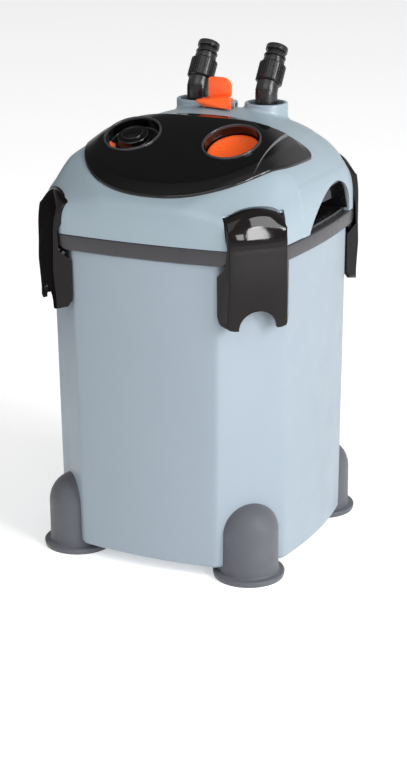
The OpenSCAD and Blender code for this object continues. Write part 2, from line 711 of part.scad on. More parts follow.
module cover_screws() color("Silver") for (k = [0 : 3]) rotate([0, 0, 45 + 90 * k])
    translate([chamber_r - 3.5, 0, cover_z - 2]) cylinder(r = 2.6, h = 2);

module lamp_holder() color("DimGray") translate([-lamp_x, lamp_y, deck_top]) difference() {
    cylinder(r = holder_r, h = 22);
    translate([0, 0, -cut]) cylinder(r = sleeve_r + seat_gap, h = 8 + cut);
    translate([0, 0, 4]) cylinder(r = lamp_r + 0.2, h = 14);
}
module quartz_sleeve() color("LightCyan") translate([-lamp_x, lamp_y, sleeve_z]) difference() {
    cylinder(r = sleeve_r, h = deck_top + 7 - sleeve_z);
    translate([0, 0, 2]) cylinder(r = sleeve_r - 1.5, h = deck_top + 10 - sleeve_z);
}
module uv_lamp() color("White") translate([-lamp_x, lamp_y, sleeve_z + 6])
    cylinder(r = lamp_r, h = deck_top + 11.8 - sleeve_z);

module intake_riser() color("DimGray") translate([lamp_x, lamp_y, base_z + floor_t]) difference() {
    ring(sleeve_r, 7.4 + fit_gap, deck_z - 6 - base_z - floor_t);
    for (a = [0, 90]) rotate([0, 0, a]) translate([-20, -2, 4]) cube([40, 4, 10]);
}

module basket(level) color("DimGray") {
    z0 = basket_z + level * basket_h;
    difference() {
        prism(z0, z0 + basket_h, mouth_mid - basket_gap, mouth_cut - basket_gap);
        difference() {
            prism(z0 + 2, z0 + basket_h + cut, mouth_mid - basket_gap - basket_t, mouth_cut - basket_gap - basket_t);
            for (s = [-1, 1]) translate([s * lamp_x, lamp_y, z0]) cylinder(r = notch_r + basket_t, h = basket_h + cut);
        }
        for (s = [-1, 1]) translate([s * lamp_x, lamp_y, z0 - cut]) {
            cylinder(r = notch_r, h = basket_h + 2 * cut);
            translate([s > 0 ? 0 : -40, 0, 0]) cube([40, 40, basket_h + 2 * cut]);
        }
        for (k = [-4 : 4]) translate([k * slot_half / 4 - 2, -slot_half, z0 - cut])
            cube([4, slot_half + lamp_y - 25, 4]);
    }
    if (level == 0) for (a = [0 : 3]) rotate([0, 0, 90 * a]) translate([slot_half + 6, -5, base_z + floor_t])
        cube([8, 10, basket_z - base_z - floor_t]);
}
module basket_low() basket(0);
module basket_mid() basket(1);
module basket_top() basket(2);

module media(level, fill) difference() {
    z0 = basket_z + level * basket_h + 2;
    prism(z0, z0 + fill, mouth_mid - basket_gap - basket_t - fit_gap, mouth_cut - basket_gap - basket_t - fit_gap);
    for (s = [-1, 1]) translate([s * lamp_x, lamp_y, z0 - cut]) {
        cylinder(r = notch_r + basket_t + fit_gap, h = fill + 2 * cut);
        translate([s > 0 ? 0 : -40, 0, 0]) cube([40, 40, fill + 2 * cut]);
    }
}
module coarse_sponge() color("RoyalBlue") media(0, basket_h - 6);
module ceramic_media() color("Wheat") media(1, basket_h - 10);
module fine_pad() color("WhiteSmoke") media(2, basket_h - 20);

module cord_gland() color("Black") translate([0, band_mid - gland_l - 0.8, gland_z]) rotate([-90, 0, 0])
    ring(gland_r, 3.3, gland_l);

canister();
rim_band();
seal_ring();
head_deck();
head_shell();
control_panel();
bezel_left();
bezel_right();
knob_cup();
knob_ring();
knob();
prime_cup();
prime_button();
port_block();
valve_spindle();
collar_left();
collar_right();
lever_bracket();
lever_pin();
lever();
hose_tail_left();
hose_tail_right();
tail_seals();
hose_nut_left();
hose_nut_right();
handle_insert_left();
handle_insert_right();
latch_fl();
latch_fr();
latch_rl();
latch_rr();
latch_hook_fl();
latch_hook_fr();
latch_hook_rl();
latch_hook_rr();
latch_pins();
foot_fl();
foot_fr();
foot_rl();
foot_rr();
foot_screws();
motor_housing();
impeller();
impeller_shaft();
pump_chamber();
chamber_cover();
cover_screws();
lamp_holder();
uv_lamp();
quartz_sleeve();
intake_riser();
basket_low();
basket_mid();
basket_top();
coarse_sponge();
ceramic_media();
fine_pad();
cord_gland();
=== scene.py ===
import math
import bmesh
import bpy
from mathutils import Matrix, Vector


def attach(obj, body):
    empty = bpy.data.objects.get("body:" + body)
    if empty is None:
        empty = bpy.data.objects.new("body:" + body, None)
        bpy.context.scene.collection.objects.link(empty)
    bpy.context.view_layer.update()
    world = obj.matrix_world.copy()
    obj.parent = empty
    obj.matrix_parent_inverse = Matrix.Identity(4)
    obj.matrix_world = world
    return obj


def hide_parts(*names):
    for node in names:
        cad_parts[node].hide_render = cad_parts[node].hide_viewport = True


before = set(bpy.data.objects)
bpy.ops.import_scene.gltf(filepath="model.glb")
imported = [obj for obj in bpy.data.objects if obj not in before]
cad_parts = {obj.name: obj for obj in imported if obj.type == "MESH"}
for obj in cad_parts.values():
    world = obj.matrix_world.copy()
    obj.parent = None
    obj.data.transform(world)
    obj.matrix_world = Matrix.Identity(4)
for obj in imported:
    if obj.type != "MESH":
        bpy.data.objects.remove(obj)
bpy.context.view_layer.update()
mm = 0.001
root2 = math.sqrt(2)

# ---- camera: where it stands, what it looks at (mm) and how the view is framed
cameraPlan = {"azimuth": 25.52, "elevation": 16.52, "roll": -0.43, "distance": 1294, "target": (0, 0, 158.1),
              "lens": 85.206, "shiftX": 0.00293, "shiftY": -0.0808}


def placeCamera(plan):
    azimuth, elevation, roll = (math.radians(plan[key]) for key in ("azimuth", "elevation", "roll"))
    back = Vector((math.sin(azimuth) * math.cos(elevation), -math.cos(azimuth) * math.cos(elevation),
                   math.sin(elevation)))
    right = Vector((math.cos(azimuth), math.sin(azimuth), 0))
    up = back.cross(right)
    turnedRight = right * math.cos(roll) + up * math.sin(roll)
    turnedUp = up * math.cos(roll) - right * math.sin(roll)
    camera = bpy.data.objects.new("camera", bpy.data.cameras.new("camera"))
    bpy.context.scene.collection.objects.link(camera)
    turn = Matrix((turnedRight, turnedUp, back)).transposed().to_4x4()
    place = Vector(plan["target"]) * mm + back * plan["distance"] * mm
    camera.matrix_world = Matrix.Translation(place) @ turn
    camera.data.sensor_width = 36
    camera.data.lens = plan["lens"]
    camera.data.shift_x = plan["shiftX"]
    camera.data.shift_y = plan["shiftY"]
    camera.data.clip_end = 100
    bpy.context.scene.camera = camera


placeCamera(cameraPlan)
print("camera placed")


# ---- mesh helpers: points are in mm
def makePiece(name, points, faces, weld=0.001):
    mesh = bpy.data.meshes.new(name)
    mesh.from_pydata([Vector(point) * mm for point in points], [], faces)
    work = bmesh.new()
    work.from_mesh(mesh)
    bmesh.ops.remove_doubles(work, verts=work.verts, dist=weld * mm)
    bmesh.ops.dissolve_degenerate(work, edges=work.edges, dist=1e-7)
    bmesh.ops.recalc_face_normals(work, faces=work.faces)
    work.to_mesh(mesh)
    work.free()
    piece = bpy.data.objects.new(name, mesh)
    bpy.context.scene.collection.objects.link(piece)
    return piece


def loft(rows, ring=True, loop=False, caps=False):
    # skin over rows of equally many points; a row at one point closes a pole
    count = len(rows[0])
    points = [point for row in rows for point in row]
    faces = []
    for r in range(len(rows) if loop else len(rows) - 1):
        a, b = r * count, (r + 1) % len(rows) * count
        for i in range(count if ring else count - 1):
            j = (i + 1) % count
            faces.append((a + i, a + j, b + j, b + i))
    if caps:
        faces.append(tuple(range(count)))
        faces.append(tuple(range(len(points) - count, len(points))))
    return points, faces


def ring(radius, height, place, steps):
    turns = [2 * math.pi * k / steps for k in range(steps)]
    return [place @ Vector((radius * math.cos(turn), radius * math.sin(turn), height)) for turn in turns]


def lathe(profile, place, steps=96):
    # profile is (radius, height) pairs; one that starts on the axis is closed there
    rows = [ring(radius, height, place, steps) for radius, height in profile]
    return loft(rows, loop=profile[0][0] > 0)


def arc(x, y, radius, start, end, steps=6, stretch=1):
    # points of an arc in degrees; stretch scales it in height
    turns = [math.radians(start + (end - start) * k / steps) for k in range(steps + 1)]
    return [(x + radius * math.cos(turn), y + stretch * radius * math.sin(turn)) for turn in turns]


def joined(*skins):
    points, faces = [], []
    for skinPoints, skinFaces in skins:
        start = len(points)
        points += skinPoints
        faces += [tuple(start + i for i in face) for face in skinFaces]
    return points, faces


def bake(piece):
    graph = bpy.context.evaluated_depsgraph_get()
    mesh = bpy.data.meshes.new_from_object(piece.evaluated_get(graph))
    piece.modifiers.clear()
    piece.data = mesh


def combine(piece, tool, operation="DIFFERENCE"):
    change = piece.modifiers.new("combine", "BOOLEAN")
    change.object = tool
    change.solver = "EXACT"
    change.operation = operation
    bake(piece)
    bpy.data.objects.remove(tool)


def dress(piece, material, body, nodes=(), sharp=35):
    # give a finished mesh its smoothing, its material and its body
    piece.data.materials.clear()
    piece.data.materials.append(material)
    piece.data.shade_smooth()
    piece.data.set_sharp_from_angle(angle=math.radians(sharp))
    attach(piece, body)
    if nodes:
        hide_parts(*nodes)
    return piece


# ---- materials
def linear(code):
    # sRGB hex to the linear values that the shader takes
    values = [int(code[i:i + 2], 16) / 255 for i in (1, 3, 5)]
    return tuple(v / 12.92 if v <= 0.04045 else ((v + 0.055) / 1.055) ** 2.4 for v in values) + (1,)


def addNode(tree, kind, settings=None, links=None):
    node = tree.nodes.new(kind)
    for key, value in (settings or {}).items():
        if isinstance(key, str) and hasattr(node, key):
            setattr(node, key, value)
        else:
            node.inputs[key].default_value = value
    for key, source in (links or {}).items():
        tree.links.new(source, node.inputs[key])
    return node


def blankMaterial(name, shaderSettings):
    material = bpy.data.materials.new(name)
    material.use_nodes = True
    tree = material.node_tree
    tree.nodes.clear()
    shader = addNode(tree, "ShaderNodeBsdfPrincipled", shaderSettings)
    addNode(tree, "ShaderNodeOutputMaterial", None, {"Surface": shader.outputs[0]})
    place = addNode(tree, "ShaderNodeTexCoord").outputs["Object"]
    return material, tree, shader, place


def mouldedPlastic(name, tones, patch, rough, grain, depth, settings=None):
    # tones: two hex colours that drift over patches (mm); rough: lowest and highest roughness;
    # grain: size of the mould's texture in mm, drawn as deep as depth in mm
    material, tree, shader, place = blankMaterial(name, settings or {})
    drift = addNode(tree, "ShaderNodeTexNoise", {"Scale": 1 / (patch * mm), "Detail": 3}, {"Vector": place})
    tone = addNode(tree, "ShaderNodeMix", {"data_type": "RGBA", 6: linear(tones[0]), 7: linear(tones[1])},
                   {0: drift.outputs["Fac"]})
    tree.links.new(tone.outputs[2], shader.inputs["Base Color"])
    wear = addNode(tree, "ShaderNodeTexNoise", {"Scale": 3.1 / (patch * mm), "Detail": 5}, {"Vector": place})
    gloss = addNode(tree, "ShaderNodeMapRange", {"From Min": 0.35, "From Max": 0.65, "To Min": rough[0],
                                                 "To Max": rough[1]}, {"Value": wear.outputs["Fac"]})
    tree.links.new(gloss.outputs[0], shader.inputs["Roughness"])
    texture = addNode(tree, "ShaderNodeTexNoise", {"Scale": 1 / (grain * mm), "Detail": 2}, {"Vector": place})
    bump = addNode(tree, "ShaderNodeBump", {"Strength": 1, "Distance": depth * mm},
                   {"Height": texture.outputs["Fac"]})
    tree.links.new(bump.outputs[0], shader.inputs["Normal"])
    return material


# polypropylene canister, injection moulded in a spark-eroded tool: even blue-grey with a soft broad sheen
canisterShell = mouldedPlastic("mouldedPolypropylene", ("#87939D", "#8C98A2"), 60, (0.40, 0.48), 0.5, 0.004,
                               {"IOR": 1.49})
# ABS lid, moulded in a finer tool: the same colour, a little lighter and glossier
lidShell = mouldedPlastic("mouldedAbsLid", ("#8897A0", "#8D9CA5"), 50, (0.30, 0.38), 0.4, 0.003, {"IOR": 1.53})
# painted ABS trim rings: dark grey and smooth, with a thin bright line on the crest
greyTrim = mouldedPlastic("paintedGreyTrim", ("#2B2B2E", "#343437"), 10, (0.12, 0.20), 0.5, 0.001, {"IOR": 1.5})
# glass-filled nylon band: dark grey, satin, with a faint cloudy look
bandNylon = mouldedPlastic("glassFilledNylon", ("#2C2A2E", "#343237"), 14, (0.28, 0.40), 0.35, 0.004,
                           {"IOR": 1.53})
# polished black ABS panel: near-mirror gloss that shows the lights as grey bands
panelAbs = mouldedPlastic("polishedBlackAbs", ("#060607", "#09090A"), 40, (0.05, 0.10), 3.0, 0.001,
                          {"IOR": 1.50})
# painted highlight: satin grey on the narrow facet of the panel's crease, standing in for the thin line of
# light that the crease reflects
creaseHighlightPaint = mouldedPlastic("paintedHighlightLine", ("#5E6063", "#696B6E"), 8, (0.25, 0.35), 0.5, 0.001, {"IOR": 1.5})
# black ABS catches with a brown cast: glossy, with slightly wavy reflections from the mould
latchAbs = mouldedPlastic("glossyBrownBlackAbs", ("#0B0808", "#100C0C"), 25, (0.03, 0.08), 6.0, 0.004,
                          {"IOR": 1.5, "Specular IOR Level": 0.22})
# black nylon hose fittings: satin with small bright highlights
fittingNylon = mouldedPlastic("blackNylon", ("#111113", "#18181B"), 8, (0.22, 0.34), 0.4, 0.003, {"IOR": 1.53})
# plain black ABS for wells and liners: satin, scuffed a little
darkAbs = mouldedPlastic("satinBlackAbs", ("#101011", "#171719"), 12, (0.22, 0.36), 0.4, 0.003, {"IOR": 1.53})
# grey polypropylene of the parts inside the head and canister: dull and even
innerPlastic = mouldedPlastic("greyPolypropylene", ("#3F4247", "#4A4D52"), 20, (0.42, 0.55), 0.5, 0.004)
# orange ABS: strong clean colour, glossy skin
orangeAbs = mouldedPlastic("orangeAbs", ("#F2571A", "#F76423"), 10, (0.20, 0.30), 0.5, 0.002, {"IOR": 1.53})
# EPDM seals: soft matt black rubber
sealRubber = mouldedPlastic("epdmRubber", ("#1C1D1F", "#26272A"), 6, (0.60, 0.75), 0.3, 0.004)
# thermoplastic rubber feet: matt dark grey with a dusty bloom
footRubber = mouldedPlastic("matteFootRubber", ("#474950", "#52545B"), 16, (0.55, 0.68), 0.35, 0.010,
                            {"IOR": 1.5, "Sheen Weight": 0.15, "Sheen Roughness": 0.5})
# slotted basket plastic: black polypropylene with mould lines too fine to show
basketPlastic = mouldedPlastic("blackPolypropylene", ("#17181B", "#202226"), 18, (0.35, 0.48), 0.5, 0.004)


def turnedSteel(name):
    # turned stainless steel: bright, with a fine mottle of about 0.4 mm that breaks up the highlight
    material, tree, shader, place = blankMaterial(name, {"Base Color": linear("#B9BABC"), "Metallic": 1})
    mottle = addNode(tree, "ShaderNodeTexNoise", {"Scale": 1 / (0.4 * mm), "Detail": 2}, {"Vector": place})
    gloss = addNode(tree, "ShaderNodeMapRange", {"To Min": 0.18, "To Max": 0.42},
                    {"Value": mottle.outputs["Fac"]})
    tree.links.new(gloss.outputs[0], shader.inputs["Roughness"])
    return material


def firedCeramic(name):
    # alumina and porous ceramic: off-white, dull, with pits of about 0.8 mm
    material, tree, shader, place = blankMaterial(name, {"Roughness": 0.7, "IOR": 1.6})
    pits = addNode(tree, "ShaderNodeTexVoronoi", {"Scale": 1 / (0.8 * mm)}, {"Vector": place})
    tone = addNode(tree, "ShaderNodeMix", {"data_type": "RGBA", 6: linear("#BDB3A2"), 7: linear("#E6E0D4")},
                   {0: pits.outputs["Distance"]})
    tree.links.new(tone.outputs[2], shader.inputs["Base Color"])
    bump = addNode(tree, "ShaderNodeBump", {"Distance": 0.3 * mm}, {"Height": pits.outputs["Distance"]})
    tree.links.new(bump.outputs[0], shader.inputs["Normal"])
    return material


def quartzGlass(name):
    # fused quartz tube: clear, smooth, with a faint haze
    material, tree, shader, place = blankMaterial(name, {"Base Color": linear("#F4FBFF"), "IOR": 1.46,
                                                         "Transmission Weight": 0.95})
    haze = addNode(tree, "ShaderNodeTexNoise", {"Scale": 1 / (6 * mm)}, {"Vector": place})
    gloss = addNode(tree, "ShaderNodeMapRange", {"To Min": 0.02, "To Max": 0.10},
                    {"Value": haze.outputs["Fac"]})
    tree.links.new(gloss.outputs[0], shader.inputs["Roughness"])
    return material


def openFoam(name, dark, light, pore):
    # reticulated foam and floss: matt, with pores of the given size in mm
    material, tree, shader, place = blankMaterial(name, {"Roughness": 0.9})
    cells = addNode(tree, "ShaderNodeTexVoronoi", {"Scale": 1 / (pore * mm), "Randomness": 1},
                    {"Vector": place})
    tone = addNode(tree, "ShaderNodeMix", {"data_type": "RGBA", 6: linear(dark), 7: linear(light)},
                   {0: cells.outputs["Distance"]})
    tree.links.new(tone.outputs[2], shader.inputs["Base Color"])
    bump = addNode(tree, "ShaderNodeBump", {"Distance": 0.6 * mm}, {"Height": cells.outputs["Distance"]})
    tree.links.new(bump.outputs[0], shader.inputs["Normal"])
    return material


steel = turnedSteel("turnedStainlessSteel")
ceramic = firedCeramic("firedCeramic")
glass = quartzGlass("quartzGlass")
coarseFoam = openFoam("coarseBlueFoam", "#1B2F52", "#3D6195", 2.2)
fineFloss = openFoam("whiteFilterFloss", "#C9CBC6", "#F1F2EE", 1.2)
print("materials made")

# ---- the square plan that the canister, band and lid share
bodyPlan = {"mid": 93.7, "cut": 101.7, "bulge": 315, "taper": 2, "baseZ": 8.4, "rimZ": 225, "wall": 3.2,
            "floor": 4, "mouthStep": 9, "neckMid": 3.5, "neckCut": 4, "shoulder": 4, "soft": 0.5,
            "bottomRound": 3, "chamferTaper": 1.6}
bandPlan = {"over": 1.3, "corner": 6.4, "bulge": 570, "height": 10.5, "soft": 0.4, "round": 1.1,
            "hookBite": 2.3, "gap": 0.15}
bandMid = bodyPlan["mid"] + bandPlan["over"]
bandCut = bodyPlan["cut"] + bandPlan["over"] + bandPlan["corner"]
bandTop = bodyPlan["rimZ"] + bandPlan["height"]
shellZ = bandTop + 0.2


def softMin(a, b, k):
    # the smaller of two values, rounded over about k where they meet
    low = min(a, b)
    return low - k * math.log(math.exp((low - a) / k) + math.exp((low - b) / k))


def softMax(a, b, k):
    return -softMin(-a, -b, k)


def ease(t):
    t = min(1, max(0, t))
    return t * t * (3 - 2 * t)


def squareReach(angle, mid, cut, bulge, soft):
    # distance from the axis to the outline in one direction
    m = max(abs(math.cos(angle)), abs(math.sin(angle)))
    n = min(abs(math.cos(angle)), abs(math.sin(angle)))
    o = bulge - mid
    return softMin(-o * m + math.sqrt(bulge * bulge - o * o * n * n), cut * root2 / (m + n), soft)


def planAngles(mid, cut, bulge, faceSteps=30, cutSteps=16):
    # directions round the plan, close together at the eight vertical edges
    c = cut * root2 - mid + bulge
    t = (c - math.sqrt(2 * bulge * bulge - c * c)) / 2
    edge = math.atan2(t, mid - bulge + math.sqrt(bulge * bulge - t * t))
    angles = []
    for k in range(4):
        for start, end, steps in ((-edge, edge, faceSteps), (edge, math.pi / 2 - edge, cutSteps)):
            for i in range(steps):
                share = 0.5 - 0.5 * math.cos(math.pi * i / steps)
                angles.append(k * math.pi / 2 + start + (end - start) * share)
    return angles


def planRow(angles, z, mid, cut, bulge, soft):
    # one ring of the plan at a height
    row = []
    for angle in angles:
        reach = squareReach(angle, mid, cut, bulge, soft)
        row.append((reach * math.cos(angle), reach * math.sin(angle), z))
    return row


def bodySize(z, inset=0):
    # half width and corner distance of the tapered body at a height
    plan = bodyPlan
    fall = plan["taper"] * (plan["rimZ"] - z) / (plan["rimZ"] - plan["baseZ"])
    return plan["mid"] - inset - fall, plan["cut"] - inset - plan["chamferTaper"] * fall


# ---- canister: taper, rounded foot edge, neck that the band sits on, open mouth
def makeCanister(plan):
    angles = planAngles(plan["mid"], plan["cut"], plan["bulge"])
    top, base, edge = plan["rimZ"], plan["baseZ"], plan["bottomRound"]
    rows = []
    # underside, with one more ring 40 mm in so that its faces stay short, and the rounded foot edge
    for inset, z in [(40, base)] + [(edge - x, base + y) for x, y in arc(0, edge, edge, -90, 0, 5)]:
        rows.append(planRow(angles, z, *bodySize(z, inset), plan["bulge"], plan["soft"]))
    for z in (60, 120, 180):
        rows.append(planRow(angles, z, *bodySize(z), plan["bulge"], plan["soft"]))
    for inset, z in ((0, top - 0.8), (0.3, top - 0.2), (1, top)):   # eased rim under the band
        rows.append(planRow(angles, z, *bodySize(z, inset), plan["bulge"], plan["soft"]))
    mouthMid, mouthCut = plan["mid"] - plan["mouthStep"], plan["cut"] - plan["mouthStep"]
    neck = (mouthMid + plan["neckMid"], mouthCut + plan["neckCut"])
    for inset, z in ((0, top), (0, bandTop - 1.1), (0.6, bandTop - 0.5)):
        rows.append(planRow(angles, z, neck[0] - inset, neck[1] - inset, plan["bulge"], plan["soft"]))
    for z in (bandTop - 0.5, top - plan["shoulder"]):
        rows.append(planRow(angles, z, mouthMid, mouthCut, plan["bulge"], plan["soft"]))
    for z in (top - plan["shoulder"], base + plan["floor"]):
        rows.append(planRow(angles, z, *bodySize(z, plan["wall"]), plan["bulge"], plan["soft"]))
    rows.append([(0, 0, base + plan["floor"])] * len(angles))
    rows.insert(0, [(0, 0, base)] * len(angles))
    return makePiece("canister_body", *loft(rows))


dress(makeCanister(bodyPlan), canisterShell, "canister", ["canister"], 25)
print("canister made")


# ---- rim band: rounded edges, and a sloping underside at the corners for the hooks
def makeBand(plan):
    angles = planAngles(bandMid, bandCut, plan["bulge"])
    low, r = bodyPlan["rimZ"], plan["round"]
    neckMid = bodyPlan["mid"] - bodyPlan["mouthStep"] + bodyPlan["neckMid"] + plan["gap"]
    neckCut = bodyPlan["cut"] - bodyPlan["mouthStep"] + bodyPlan["neckCut"] + plan["gap"]
    outline = [(r - x, low + r + y) for x, y in arc(0, 0, r, -90, 0, 4)]
    outline += [(r - x, bandTop - r + y) for x, y in arc(0, 0, r, 0, 90, 4)]
    rows = [planRow(angles, z, bandMid - inset, bandCut - inset, plan["bulge"], plan["soft"])
            for inset, z in outline]
    for row in rows[:5]:
        for i, (x, y, z) in enumerate(row):
            corner = ease(((abs(x) + abs(y)) / root2 - bandCut + 3) / 2)   # 1 within 1 mm of the cut corner
            row[i] = (x, y, z + plan["hookBite"] * corner)
    for z in (bandTop, low):
        rows.append(planRow(angles, z, neckMid, neckCut, bodyPlan["bulge"], plan["soft"]))
    return makePiece("rim_band_ring", *loft(rows, loop=True))


dress(makeBand(bandPlan), bandNylon, "canister", ["rim_band"], 30)
print("band made")

# ---- dome of the head: height falls off from a crest behind the middle; s runs from 0 there to 1 at the rim
domePlan = {"height": 74, "power": 1.36, "root": 3.5, "midY": 30, "slopeStart": 40, "slopeRate": 0.068,
            "slopePower": 1.35, "slopeRise": 3, "blend": 4, "edgeSoft": 0.4, "soft": 4, "softShare": 0.05,
            "softHigh": 3, "dropStart": 84, "dropEnd": 104, "cornerDrop": 0.16, "wall": 3, "cornerWall": 13,
            "fieldHalf": 50, "fieldTop": 270, "fieldEase": 1.6, "fieldX": 60, "fieldStep": 0.6, "stepTop": 290}


def domeReach(angle, s, inset):
    plan = domePlan
    soft = plan["edgeSoft"] + (plan["soft"] - plan["edgeSoft"]) * min(1, (1 - s) / plan["softShare"])
    soft += plan["softHigh"] * ease((0.95 - s) / 0.5)
    return squareReach(angle, bandMid - inset, bandCut - inset, bandPlan["bulge"], soft)


def domeHeight(s, x, y, inset):
    plan = domePlan
    a = (plan["height"] - inset) * max(0, 1 - s ** plan["power"]) ** (1 / plan["root"])
    b = plan["height"] + plan["slopeRise"] - inset
    b -= plan["slopeRate"] * max(plan["slopeStart"] - y, 0) ** plan["slopePower"]
    corner = ((abs(x) - y) / root2 - plan["dropStart"]) / (plan["dropEnd"] - plan["dropStart"])
    return bandTop - 0.5 + (1 - plan["cornerDrop"] * ease(corner)) * softMin(a, b, plan["blend"])


def domePoint(s, angle, inset=0):
    reach = s * domeReach(angle, s, inset)
    x, y = reach * math.cos(angle), reach * math.sin(angle) + (1 - s) * domePlan["midY"]
    return x, y, domeHeight(s, x, y, inset)


def domeZ(x, y, inset=0):
    # height of the dome over a point of the plan, with s found by halving
    low, high = 0.0, 1.0
    for _ in range(26):
        s = (low + high) / 2
        v = y - (1 - s) * domePlan["midY"]
        if math.hypot(x, v) > s * domeReach(math.atan2(v, x), s, inset):
            low = s
        else:
            high = s
    return domeHeight(s, x, y, inset)


# sizes that the head's openings share with the pieces that fill them
wellPlan = {"x": 37.5, "y": 29, "z": 294.5, "tilt": 24.5, "radius": 19, "rim": 1.5, "gap": 0.2}
hosePlan = {"x": 27, "y": 54, "blockTop": 286}
collarPlan = {"radius": 15.6, "wall": 3, "top": 308.5, "round": 1.2, "fillet": 2.6}
gripPlan = {"front": -27, "back": 51, "height": 26.3, "y": 12.5, "depth": 25, "below": 3, "crest": 24,
            "rise": 1.6, "fall": 0.7, "wallX": 79, "wallThick": 2, "wallLow": 8, "wallOver": 0.6}
leverPlan = {"x": -2.2, "y": 38, "z": 308, "width": 16.5, "height": 18.5, "thick": 3.6, "hub": 4.4, "pin": 2,
             "tabRound": 7, "tabOver": 0.7, "slotHalf": (13.75, 7),   # and the paddle's eight corners:
             "paddle": ((-10.4, 36.5, 313.0), (6.6, 36.5, 314.0), (-17.4, 25.0, 311.6), (9.2, 28.4, 314.6),
                        (15.2, 20.6, 307.0), (-9.0, 24.6, 307.2), (-9.6, 38.5, 309.0), (5.6, 38.5, 309.4))}
latchPlan = {"width": 41.2, "over": 4.4, "thick": 3.2, "low": 182, "noseR": 10, "bendH": 16.3, "rearRise": 10,
             "noseLong": 29, "arch": 6, "archLow": 8, "archOver": 18, "barrelR": 4.4, "cheek": 2.5,
             "flare": -1.2, "crown": 0.4, "edgeRound": 1.5, "cornerRound": 4.0, "facetFrom": 12.5,
             "facetSlope": 0.06, "notchW": 27, "notchH": 12.5, "skirt": 4.2, "open": 103.2, "runGap": 0.05,
             "cheekSlope": 0.92, "hollowD": 90, "pocketSide": 0.8, "pocketGap": 0.4, "pocketR": 6.9,
             "pocketZ": 237.3, "clipZ": 237.8}
glandPlan = {"z": 249, "radius": 6, "gap": 0.15}


def wellPlace(side):
    plan = wellPlan
    return Matrix.Translation((side * plan["x"], -plan["y"], plan["z"])) @ Matrix.Rotation(
        math.radians(plan["tilt"]), 4, "X")


def cornerPlace(index):
    return Matrix.Rotation(math.radians(45 + 90 * index), 4, "Z")


def gripOutline(steps=16):
    # points (y, z) of a hand recess, open below: a long rise from the front, then a round fall
    plan = gripPlan
    front, back, crest, high = plan["front"], plan["back"], plan["crest"], plan["height"]
    turns = [math.radians(90 * k / steps) for k in range(steps + 1)]
    points = [(crest + (front - crest) * math.cos(t), high * math.sin(t) ** plan["rise"]) for t in turns]
    points += [(crest + (back - crest) * math.sin(t), high * math.cos(t) ** plan["fall"]) for t in turns[1:]]
    low = shellZ - plan["below"]
    return [(front, low)] + [(y, shellZ + z) for y, z in points] + [(back, low)]


def wellDrill(side, gap):
    # a drill along the axis of a well, as wide as its bezel and the gap round it
    r = wellPlan["radius"] + wellPlan["rim"] + gap
    return lathe([(0, -30), (r, -30), (r, 30), (0, 30)], wellPlace(side), 120)


hingeD = bandCut + latchPlan["over"] - latchPlan["noseR"]
latchD = bandCut + latchPlan["over"]


def bendZ(index):
    # the two rear latches reach higher up the dome than the front ones
    return shellZ + latchPlan["bendH"] + (latchPlan["rearRise"] if index < 2 else 0)


def hingeZ(index):
    return bendZ(index) + latchPlan["noseR"] - latchPlan["barrelR"] - latchPlan["runGap"]


def archDrop(index, w, z):
    # how far the arched top hangs down beside the middle of a latch
    plan = latchPlan
    share = ease((z - bendZ(index) + plan["archLow"]) / plan["archOver"])
    return share * plan["arch"] * (w / (plan["width"] / 2)) ** 2


def pocketTool(index):
    # the space that the nose of a latch turns in, a little wider than the nose
    plan = latchPlan
    noseZ = bendZ(index) + plan["noseR"] - plan["noseLong"]
    nose = arc(hingeD, hingeZ(index), plan["barrelR"], 185, 90, 12)
    nose += arc(hingeD, noseZ, plan["noseR"], 90, 0, 40, plan["noseLong"] / plan["noseR"])
    half = plan["width"] / 2 + plan["pocketSide"]
    rows = []
    for w in [half * k / 10 for k in range(-10, 11)]:
        sweep = []
        for x, z in nose:
            dx, dz = x - hingeD, z - archDrop(index, min(abs(w), plan["width"] / 2), z) - hingeZ(index)
            sweep.append((math.degrees(math.atan2(dz, dx)) % 360, math.hypot(dx, dz)))
        row = arc(hingeD, hingeZ(index), plan["pocketR"], 265, 200, 6)
        for angle in range(200, 15, -6):   # the farthest that any point of the nose swings past this angle
            reach = max([r for t, r in sweep if angle - plan["open"] <= t <= angle] + [1.5]) + plan["pocketGap"]
            turn = math.radians(angle)
            row.append((hingeD + reach * math.cos(turn), hingeZ(index) + reach * math.sin(turn)))
        row += [(hingeD + 30, hingeZ(index) + 16), (hingeD + 30, plan["pocketZ"]),
                (bandCut + 0.2, plan["pocketZ"])]
        rows.append([cornerPlace(index) @ Vector((x, w, z)) for x, z in row])
    return loft(rows, caps=True)


